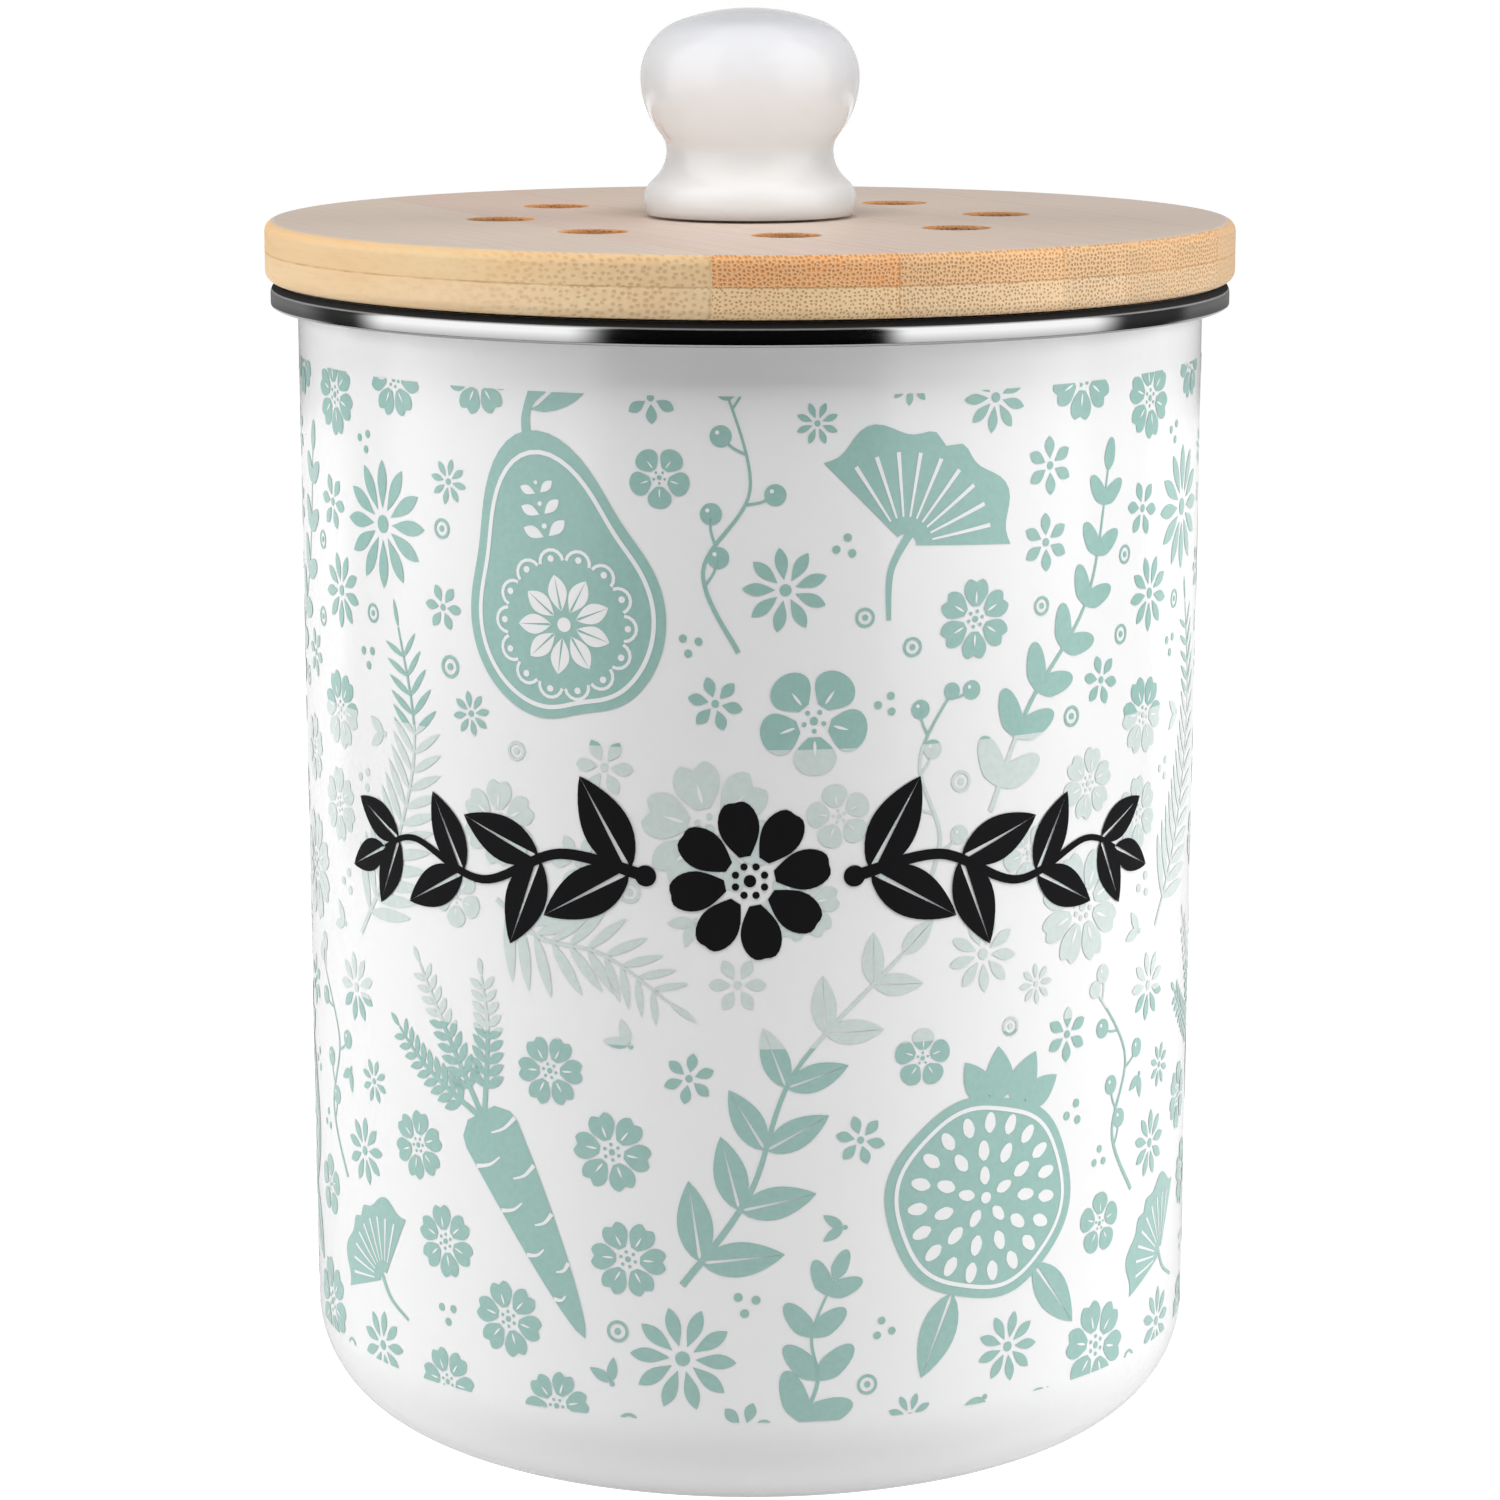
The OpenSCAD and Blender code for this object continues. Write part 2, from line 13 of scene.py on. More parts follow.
import bmesh
import bpy
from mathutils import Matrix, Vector, noise
from mathutils.geometry import delaunay_2d_cdt
from mathutils.kdtree import KDTree


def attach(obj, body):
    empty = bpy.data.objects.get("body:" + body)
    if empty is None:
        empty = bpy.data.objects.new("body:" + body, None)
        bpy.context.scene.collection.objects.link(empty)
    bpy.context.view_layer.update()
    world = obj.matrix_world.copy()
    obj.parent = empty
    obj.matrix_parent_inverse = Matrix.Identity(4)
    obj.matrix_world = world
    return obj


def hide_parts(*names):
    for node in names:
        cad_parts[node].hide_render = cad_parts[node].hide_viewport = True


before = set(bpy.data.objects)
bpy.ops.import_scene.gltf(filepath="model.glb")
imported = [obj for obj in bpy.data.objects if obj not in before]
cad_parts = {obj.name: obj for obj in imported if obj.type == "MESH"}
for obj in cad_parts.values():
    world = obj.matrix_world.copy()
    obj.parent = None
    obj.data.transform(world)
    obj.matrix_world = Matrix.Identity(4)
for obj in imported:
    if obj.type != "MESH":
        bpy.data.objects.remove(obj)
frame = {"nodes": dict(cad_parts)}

LOG = logging.getLogger("compost_caddy")
MM = 0.001
FULL_TURN = 2 * math.pi
UP = (0.0, 0.0, 1.0)
POLE_R = 1e-7
LID_JOINT = 0.22085
KNOB_FOOT = 0.2269

Colour = tuple[float, float, float]
Point = tuple[float, float]
Span = tuple[float, float]
Profile = list[Point]
Object = bpy.types.Object
Material = bpy.types.Material
Socket = bpy.types.NodeSocket
Shape = bmesh.types.BMesh
Ring = list[bmesh.types.BMVert]


# --- Shapes ---

def steps_of(start: float, end: float, count: int) -> list[float]:
    """Returns evenly spaced values, both ends included."""
    return [start + (end - start) * i / (count - 1) for i in range(count)]


def turns_of(count: int) -> list[float]:
    """Returns evenly spaced angles once round, from 0 on."""
    return [FULL_TURN * i / count for i in range(count)]


def polar(radius: float, turn: float) -> Point:
    """Returns the point at a distance and an angle from the origin."""
    return radius * math.cos(turn), radius * math.sin(turn)


def arc(x: float, z: float, r: float, start: float, end: float, steps: int = 8) -> Profile:
    """Returns points along an arc round a place, its angles in degrees from +x towards +z."""
    spots = (polar(r, math.radians(turn)) for turn in steps_of(start, end, steps + 1))
    return [(x + across, z + up) for across, up in spots]


def densify(profile: Profile, longest: float) -> Profile:
    """Adds points to a profile until no stretch is longer than a length.

    Args:
        profile: The profile.
        longest: The longest stretch that stays whole.

    Returns:
        The profile with its new points.
    """
    out = [profile[0]]
    for (x0, z0), (x1, z1) in zip(profile, profile[1:]):
        count = max(1, math.ceil(math.hypot(x1 - x0, z1 - z0) / longest)) + 1
        out += list(zip(steps_of(x0, x1, count), steps_of(z0, z1, count)))[1:]
    return out


def quads(rows: int, width: int, base: int = 0) -> list[tuple[int, ...]]:
    """Returns the quads between rows of points that are numbered on from a base."""
    starts = (base + i * width + j for i in range(rows - 1) for j in range(width - 1))
    return [(a, a + 1, a + width + 1, a + width) for a in starts]


def new_object(name: str, data: bpy.types.ID) -> Object:
    """Links an object into the scene, at the origin.

    Args:
        name: Name of the object.
        data: Its mesh, light or camera.

    Returns:
        The object.
    """
    made = bpy.data.objects.new(name, data)
    bpy.context.scene.collection.objects.link(made)
    return made


def turn_profile(
    shape: Shape, profile: Profile, sides: int, centre: Point = (0.0, 0.0), closed: bool = False,
    stray: Callable[[float, float], float] | None = None,
) -> list[Ring]:
    """Turns a profile round an upright axis.

    Args:
        shape: The mesh to add to.
        profile: Radii and heights in metres; a radius of 0 is a pole.
        sides: Steps round the axis.
        centre: Where the axis stands.
        closed: Whether the profile's last point joins its first.
        stray: Small change of radius at an angle and a height.

    Returns:
        One ring of points for each point of the profile.
    """
    rings: list[Ring] = []
    for radius, height in profile:
        pole = radius < POLE_R
        ring = []
        for turn in turns_of(1 if pole else sides):
            away = 0.0 if pole else radius + (stray(turn, height) if stray else 0.0)
            x, y = polar(away, turn)
            ring.append(shape.verts.new((centre[0] + x, centre[1] + y, height)))
        rings.append(ring)
    for low, high in zip(rings, rings[1:] + (rings[:1] if closed else [])):
        for i in range(sides if len(low) + len(high) > 2 else 0):
            j = (i + 1) % sides
            corners = low[i % len(low)], low[j % len(low)], high[j % len(high)], high[i % len(high)]
            shape.faces.new(list(dict.fromkeys(corners)))
    return rings


def smooth_piece(
    name: str, shape: Shape, sharp: float, index_of: Callable[[bmesh.types.BMFace], int] = lambda face: 0
) -> Object:
    """Makes a smooth piece of a mesh, with its faces pointing outwards.

    Args:
        name: Name of the piece.
        shape: The mesh; it is freed afterwards.
        sharp: Angle in degrees from which an edge is drawn as a corner.
        index_of: Which finish a face gets, by number.

    Returns:
        The piece.
    """
    bmesh.ops.recalc_face_normals(shape, faces=shape.faces)
    for face in shape.faces:
        face.smooth, face.material_index = True, index_of(face)
    mesh = bpy.data.meshes.new(name)
    shape.to_mesh(mesh)
    shape.free()
    mesh.set_sharp_from_angle(angle=math.radians(sharp))
    LOG.info("%s: %d faces", name, len(mesh.polygons))
    return new_object(name, mesh)


def lathe(
    name: str, profile: Profile, sides: int, sharp: float = 35.0,
    stray: Callable[[float, float], float] | None = None,
) -> Object:
    """Turns a closed profile round the Z axis into a smooth piece.

    Args:
        name: Name of the piece.
        profile: Radii and heights in metres; a radius of 0 is a pole.
        sides: Steps round the axis.
        sharp: Angle in degrees from which an edge is drawn as a corner.
        stray: Small change of radius at an angle and a height.

    Returns:
        The piece.
    """
    shape = bmesh.new()
    turn_profile(shape, profile, sides, closed=True, stray=stray)
    return smooth_piece(name, shape, sharp)


def curve(points: Sequence[Sequence[float]], steps: int = 12) -> list[Vector]:
    """Returns a smooth path through a few points, as a Catmull-Rom spline.

    Args:
        points: The points that the path runs through.
        steps: Stretches between two of them.

    Returns:
        The points of the path.
    """
    ends = [Vector(point) for point in (points[0], *points, points[-1])]
    path: list[Vector] = []
    for p, q, r, s in zip(ends, ends[1:], ends[2:], ends[3:]):
        bend, twist = 2 * p - 5 * q + 4 * r - s, 3 * q - p - 3 * r + s
        for t in steps_of(0.0, 1.0, steps + 1)[:-1]:
            path.append(0.5 * (2 * q + (r - p) * t + bend * t ** 2 + twist * t ** 3))
    return [*path, ends[-1]]


class Flat:
    """Flat shapes in millimetres, gathered in one mesh before they are bent round the can.

    Every method that adds a shape returns the shapes, so that calls can follow one another.
    """

    cell: float = 2.5
    petal_foot: float = 0.28
    notch_half: float = 0.34
    leaf_bluntness: float = 0.85
    blob_hole: float = 0.004

    def __init__(self) -> None:
        """Starts with no shapes."""
        self.points: Profile = []
        self.faces: list[tuple[int, ...]] = []

    @classmethod
    def of(cls, piece: Object) -> "Flat":
        """Turns an object back into flat shapes and removes it.

        Args:
            piece: The object, in metres.

        Returns:
            The shapes.
        """
        out = cls()
        out.points = [(v.co.x / MM, v.co.y / MM) for v in piece.data.vertices]
        out.faces = [tuple(face.vertices) for face in piece.data.polygons]
        bpy.data.meshes.remove(piece.data)
        return out

    def grid(self, rows: list[Profile]) -> "Flat":
        """Adds a strip of quads.

        Args:
            rows: Rows of points, each as long as the next.

        Returns:
            The shapes.
        """
        self.faces += quads(len(rows), len(rows[0]), len(self.points))
        self.points += [point for row in rows for point in row]
        return self

    def leaf(
        self, length: float, width: float, belly: float = 0.8, gap: float = 0.0, steps: int = 10,
        start: float = 0.0,
    ) -> "Flat":
        """Adds a pointed leaf along +Y, split by a bare midrib where a gap is given.

        Args:
            length: Length of the leaf.
            width: Largest width.
            belly: Under 1 puts the widest part near the stalk, over 1 near the tip.
            gap: Width of the bare midrib.
            steps: Stretches along the leaf.
            start: Distance of its stalk from the origin.

        Returns:
            The shapes.
        """
        left, right = [], []
        for i, t in enumerate(steps_of(0.0, 1.0, steps + 1)):
            bow = math.sin(math.pi * t ** belly) ** self.leaf_bluntness if 0 < i < steps else 0.0
            half = width / 2 * bow
            rib, y = min(gap / 2 * (1 - t), half), start + length * t
            left.append([(-half, y), (-(half + rib) / 2, y), (-rib, y)])
            right.append([(rib, y), ((half + rib) / 2, y), (half, y)])
        return self.grid(left).grid(right)

    def petal(
        self, start: float, end: float, width: float, notch: float = 0.0, tip: float = 0.45
    ) -> "Flat":
        """Adds a petal along +Y with a rounded or notched end.

        Args:
            start: Distance from the flower's centre to the petal's foot.
            end: Distance to its end.
            width: Largest width.
            notch: Depth of the notch in its end, as a share of its length.
            tip: Under 0.5 makes the end blunt.

        Returns:
            The shapes.
        """
        rows = []
        columns = [(math.sin(p), math.cos(p)) for p in steps_of(-math.pi / 2, math.pi / 2, 13)]
        for share in steps_of(0.0, 1.0, 7):
            row = []
            for across, rise in columns:
                dent = notch * math.exp(-((across / self.notch_half) ** 2))
                reach = share * (1 - tip + tip * rise - dent)
                belly = math.sin(math.pi / 2 * min(1.0, reach / (1 - tip)))
                wide = self.petal_foot + (1 - self.petal_foot) * belly
                row.append((width / 2 * across * wide, start + (end - start) * reach))
            rows.append(row)
        return self.grid(rows)

    def disc(self, x: float, y: float, outer: float, inner: float = 0.0, sides: int = 26) -> "Flat":
        """Adds a disc, or a ring where an inner radius is given."""
        return self.blob(x, y, lambda turn: outer, inner / outer, sides)

    def blob(
        self, x: float, y: float, radius: Callable[[float], float], inner: float = 0.0, sides: int = 48
    ) -> "Flat":
        """Adds a filled round outline, in rings so that it can be bent.

        Args:
            x: Centre, along the wall.
            y: Centre, up the wall.
            radius: Radius of the outline at an angle.
            inner: Share of the radius that stays open round the centre.
            sides: Points round the outline.

        Returns:
            The shapes.
        """
        largest = max(radius(turn) for turn in turns_of(sides))
        count = max(1, math.ceil(largest * (1 - inner) / self.cell))
        rows = []
        for k in range(count + 1):
            share = max(inner + (1 - inner) * k / count, self.blob_hole)
            spots = (polar(radius(turn) * share, turn) for turn in steps_of(0.0, FULL_TURN, sides + 1))
            rows.append([(x + across, y + up) for across, up in spots])
        return self.grid(rows)

    def ribbon(self, path: Sequence[Vector], start: float, end: float) -> "Flat":
        """Adds a band of ink along a path.

        Args:
            path: The path's points.
            start: Width at its first point.
            end: Width at its last.

        Returns:
            The shapes.
        """
        rows = []
        last = len(path) - 1
        for i, point in enumerate(path):
            along = (path[min(i + 1, last)] - path[max(i - 1, 0)]).normalized()
            across = Vector((-along.y, along.x)) * ((start + (end - start) * i / last) / 2)
            rows.append([(point.x + across.x, point.y + across.y), (point.x - across.x, point.y - across.y)])
        return self.grid(rows)

    def copy_of(
        self, other: "Flat", x: float = 0.0, y: float = 0.0, turn: float = 0.0, size: float = 1.0
    ) -> "Flat":
        """Adds a moved, turned and scaled copy of other flat shapes.

        Args:
            other: The shapes to copy.
            x: How far the copy moves along the wall.
            y: How far it moves up.
            turn: Turn in degrees, anticlockwise.
            size: Scale.

        Returns:
            The shapes.
        """
        base = len(self.points)
        c, s = math.cos(math.radians(turn)) * size, math.sin(math.radians(turn)) * size
        self.points += [(x + c * px - s * py, y + s * px + c * py) for px, py in other.points]
        self.faces += [tuple(base + i for i in face) for face in other.faces]
        return self

    def to_object(self, name: str, level: float = 0.0) -> Object:
        """Makes a mesh object of the shapes, in metres.

        Args:
            name: Name of the object.
            level: Height of the ink above the wall, in millimetres.

        Returns:
            The object.
        """
        mesh = bpy.data.meshes.new(name)
        mesh.from_pydata([(x * MM, y * MM, level * MM) for x, y in self.points], [], self.faces)
        mesh.validate()
        return new_object(name, mesh)


# --- Nodes ---

def operator(operation: str, swapped: bool = False) -> Callable[["Value", "Term"], "Value"]:
    """Makes the method of an arithmetic operator.

    Args:
        operation: Operation of the Math node that stands for it.
        swapped: Whether the value is the second term.

    Returns:
        The method.
    """
    def reckon(self: "Value", other: "Term") -> "Value":
        """Returns the Math node's result."""
        terms = (other, self) if swapped else (self, other)
        return self.graph.maths(operation, *terms)
    return reckon


class Value:
    """A node's output, which sums can be written with."""

    def __init__(self, graph: "Graph", socket: Socket) -> None:
        """Keeps an output of a node in a graph."""
        self.graph, self.socket = graph, socket

    __add__ = operator("ADD")
    __sub__ = operator("SUBTRACT")
    __rsub__ = operator("SUBTRACT", swapped=True)
    __mul__ = operator("MULTIPLY")
    __truediv__ = operator("DIVIDE")
    __rtruediv__ = operator("DIVIDE", swapped=True)


Term = Value | Socket | float
Inputs = dict[str | int, object]


class Graph:
    """A node tree, built node by node."""

    def __init__(self, tree: bpy.types.NodeTree) -> None:
        """Takes up a node tree."""
        self.tree = tree

    def feed(self, node: bpy.types.Node, inputs: Inputs) -> bpy.types.Node:
        """Fills in a node's inputs.

        Args:
            node: The node.
            inputs: An output to link from, or a plain value, for each input by name or index.

        Returns:
            The node.
        """
        for key, value in inputs.items():
            target = node.inputs[key]
            value = value.socket if isinstance(value, Value) else value
            if isinstance(value, Socket):
                self.tree.links.new(value, target)
            elif target.type == "RGBA" and len(value) == 3:
                target.default_value = (*value, 1.0)
            else:
                target.default_value = value
        return node

    def node(self, kind: str, inputs: Inputs | None = None, **settings: object) -> bpy.types.Node:
        """Adds a node.

        Args:
            kind: Type name of the node.
            inputs: What goes into it, by name or index.
            settings: Attributes of the node, such as its operation.

        Returns:
            The node.
        """
        made = self.tree.nodes.new(kind)
        for key, value in settings.items():
            setattr(made, key, value)
        return self.feed(made, inputs or {})

    def value(
        self, kind: str, inputs: Inputs | None = None, key: str | int = 0, **settings: object
    ) -> Value:
        """Adds a node and returns one of its outputs, by name or index."""
        return Value(self, self.node(kind, inputs, **settings).outputs[key])

    def maths(self, operation: str, a: Term, b: Term = 0.0) -> Value:
        """Adds a Math node and returns its result."""
        return self.value("ShaderNodeMath", {0: a, 1: b}, operation=operation)

    def length(self, vector: Term) -> Value:
        """Returns the length of a vector."""
        return self.value("ShaderNodeVectorMath", {0: vector}, "Value", operation="LENGTH")

    def split(self, vector: Term) -> list[Value]:
        """Returns the three parts of a vector."""
        return [Value(self, part) for part in self.node("ShaderNodeSeparateXYZ", {0: vector}).outputs]

    def join(self, x: Term = 0.0, y: Term = 0.0, z: Term = 0.0) -> Value:
        """Returns the vector of three parts."""
        return self.value("ShaderNodeCombineXYZ", {0: x, 1: y, 2: z})


class Tree(Graph):
    """A Geometry Nodes tree with named inputs."""

    kinds = {float: "NodeSocketFloat", int: "NodeSocketInt"}

    def __init__(self, name: str, inputs: dict[str, float | int | str]) -> None:
        """Makes the group, its geometry sockets, its named inputs and one for the finish.

        Args:
            name: Name of the tree.
            inputs: The default of each input, or its socket type where it has no default, by name.
        """
        super().__init__(bpy.data.node_groups.new(name, "GeometryNodeTree"))
        self.tree.is_modifier = True
        face = self.tree.interface
        for way in ("INPUT", "OUTPUT"):
            face.new_socket("Geometry", in_out=way, socket_type="NodeSocketGeometry")
        self.identifiers: dict[str, str] = {}
        for label, default in (inputs | {"Finish": "NodeSocketMaterial"}).items():
            kind = self.kinds.get(type(default), default)
            socket = face.new_socket(label, in_out="INPUT", socket_type=kind)
            if kind != default:
                socket.default_value = default
            self.identifiers[label] = socket.identifier
        self.start = self.node("NodeGroupInput")

    def __getitem__(self, label: str) -> Value:
        """Returns a named input."""
        return Value(self, self.start.outputs[label])

    def joined(self, *parts: Value) -> Value:
        """Returns several geometries as one.

        Args:
            parts: The geometries.

        Returns:
            All of them together.
        """
        node = self.node("GeometryNodeJoinGeometry")
        for part in parts:
            self.feed(node, {0: part})
        return Value(self, node.outputs[0])

    def close(self, geometry: Value) -> "Tree":
        """Ends the tree: instances are realized and the finish is set.

        Args:
            geometry: What the tree made.

        Returns:
            The tree.
        """
        realized = self.value("GeometryNodeRealizeInstances", {"Geometry": geometry})
        dressed = self.value("GeometryNodeSetMaterial", {"Geometry": realized, "Material": self["Finish"]})
        self.node("NodeGroupOutput", {"Geometry": dressed})
        return self

    def run(self, source: Object, name: str, values: dict[str, object]) -> Object:
        """Runs the tree on an object and returns the result as a plain mesh.

        Args:
            source: The object that the tree starts from; it is removed afterwards.
            name: Name of the new piece.
            values: Values of the named inputs.

        Returns:
            A new object at the origin, with no modifier.
        """
        modifier = source.modifiers.new(self.tree.name, "NODES")
        modifier.node_group = self.tree
        for label, value in values.items():
            modifier[self.identifiers[label]] = value
        depsgraph = bpy.context.evaluated_depsgraph_get()
        mesh = bpy.data.meshes.new_from_object(source.evaluated_get(depsgraph), depsgraph=depsgraph)
        mesh.name = name
        bpy.data.objects.remove(source)
        return new_object(name, mesh)


def leafy_stem_tree() -> Tree:
    """Makes the tree that stands pairs of leaves along a stem, smaller towards its tip.

    Returns:
        The tree.
    """
    tree = Tree("leaves_along_a_stem", {
        "Leaf": "NodeSocketObject", "Spacing": 0.006, "Lean": 0.8, "Taper": 0.4,
    })
    line = tree.value("GeometryNodeMeshToCurve", {"Mesh": tree["Geometry"]})
    points = tree.node(
        "GeometryNodeCurveToPoints", {"Curve": line, "Length": tree["Spacing"]}, mode="LENGTH"
    ).outputs
    count = tree.value(
        "GeometryNodeAttributeDomainSize", {"Geometry": points[0]}, "Point Count", component="POINTCLOUD"
    )
    share = tree.value("GeometryNodeInputIndex") / tree.maths("MAXIMUM", count, 1.0)
    scale = 1.0 - share * tree["Taper"]
    along = tree.value(
        "FunctionNodeAlignRotationToVector", {"Vector": points["Tangent"]}, axis="Y", pivot_axis="Z"
    )
    leaf = tree.value(
        "GeometryNodeObjectInfo", {"Object": tree["Leaf"]}, "Geometry", transform_space="ORIGINAL"
    )
    placed = []
    for side in (1.0, -1.0):
        turn = tree.value("FunctionNodeAxisAngleToRotation", {"Axis": UP, "Angle": tree["Lean"] * side})
        turned = tree.value(
            "FunctionNodeRotateRotation", {"Rotation": along, "Rotate By": turn}, rotation_space="LOCAL"
        )
        placed.append(tree.value("GeometryNodeInstanceOnPoints", {
            "Points": points[0], "Instance": leaf, "Rotation": turned, "Scale": scale,
        }))
    return tree.close(tree.joined(*placed))


def ring_tree() -> Tree:
    """Makes the tree that turns copies of a shape round the Z axis in equal steps.

    Returns:
        The tree.
    """
    tree = Tree("copies_round_a_centre", {"Copies": 6, "Turn": 0.0})
    points = tree.value("GeometryNodePoints", {"Count": tree["Copies"]})
    turn = tree.value("GeometryNodeInputIndex") * (FULL_TURN / tree["Copies"]) + tree["Turn"]
    rotation = tree.value("FunctionNodeAxisAngleToRotation", {"Axis": UP, "Angle": turn})
    return tree.close(tree.value("GeometryNodeInstanceOnPoints", {
        "Points": points, "Instance": tree["Geometry"], "Rotation": rotation,
    }))


def wrap_tree() -> Tree:
    """Makes the tree that repeats flat shapes along a wall and bends them round it.

    Returns:
        The tree.
    """
    tree = Tree("print_bent_round_a_wall", {
        "Repeats": 3, "Foot radius": 0.083, "Rim radius": 0.084, "Foot height": 0.02, "Rim height": 0.21,
    })
    middle = (tree["Foot radius"] + tree["Rim radius"]) * 0.5
    step = tree.join(middle * FULL_TURN / tree["Repeats"])
    line = tree.value("GeometryNodeMeshLine", {"Count": tree["Repeats"], "Offset": step}, mode="OFFSET")
    copies = tree.value("GeometryNodeInstanceOnPoints", {"Points": line, "Instance": tree["Geometry"]})
    flat = tree.value("GeometryNodeRealizeInstances", {"Geometry": copies})
    x, y, z = tree.split(tree.value("GeometryNodeInputPosition"))
    wall = tree.value("ShaderNodeMapRange", {
        "Value": y, "From Min": tree["Foot height"], "From Max": tree["Rim height"],
        "To Min": tree["Foot radius"], "To Max": tree["Rim radius"],
    }, clamp=False)
    radius, turn = wall + z, x / middle
    bent = tree.join(radius * tree.maths("SINE", turn), radius * tree.maths("COSINE", turn) * -1.0, y)
    moved = tree.value("GeometryNodeSetPosition", {"Geometry": flat, "Position": bent})
    return tree.close(tree.value("GeometryNodeSetShadeSmooth", {"Geometry": moved}))


def fibre_tree() -> Tree:
    """Makes the tree that strews short bent fibres over a pad's downward and outer faces.

    Returns:
        The tree.
    """
    lowest_up, lift, resolution, sides, tilt = 0.3, 0.28, 4, 3, 0.5
    tree = Tree("fibres_on_a_pad", {
        "Density": 200000.0, "Length": 0.0016, "Thickness": 0.00003, "Seed": 5,
    })
    facing = tree.split(tree.value("GeometryNodeInputNormal"))[2]
    low = tree.value(
        "FunctionNodeCompare", {0: facing, 1: lowest_up}, data_type="FLOAT", operation="LESS_THAN"
    )
    points = tree.node("GeometryNodeDistributePointsOnFaces", {
        "Mesh": tree["Geometry"], "Selection": low, "Density": tree["Density"], "Seed": tree["Seed"],
    }).outputs
    half = tree["Length"] * 0.5
    bow = tree.value("GeometryNodeCurveQuadraticBezier", {
        "Resolution": resolution, "Start": tree.join(half * -1.0),
        "Middle": tree.join(0.0, half * 0.5, tree["Length"] * lift), "End": tree.join(half * 1.0),
    })
    ring = tree.value("GeometryNodeCurvePrimitiveCircle", {"Resolution": sides, "Radius": tree["Thickness"]})
    hair = tree.value("GeometryNodeCurveToMesh", {"Curve": bow, "Profile Curve": ring, "Fill Caps": True})
    spin = tree.value("FunctionNodeRandomValue", {
        "Min": (0.0, 0.0, 0.0), "Max": (tilt, tilt, FULL_TURN), "Seed": tree["Seed"],
    }, data_type="FLOAT_VECTOR")
    turned = tree.value("FunctionNodeRotateRotation", {
        "Rotation": points["Rotation"], "Rotate By": tree.value("FunctionNodeEulerToRotation", {0: spin}),
    }, rotation_space="LOCAL")
    placed = tree.value("GeometryNodeInstanceOnPoints", {
        "Points": points[0], "Instance": hair, "Rotation": turned,
    })
    return tree.close(tree.joined(tree["Geometry"], placed))


class Relief(NamedTuple):
    """Noise seen as unevenness: its scale per metre, its detail, and its height in metres."""

    scale: float
    detail: float
    height: float


class Veil(NamedTuple):
    """A tint over what lies where a noise rises from one value to another, up to a share."""

    low: float
    high: float
    share: float
    tint: Colour


def shaded(colour: Colour, share: float) -> Colour:
    """Returns a colour at a share of its light."""
    return tuple(part * share for part in colour)


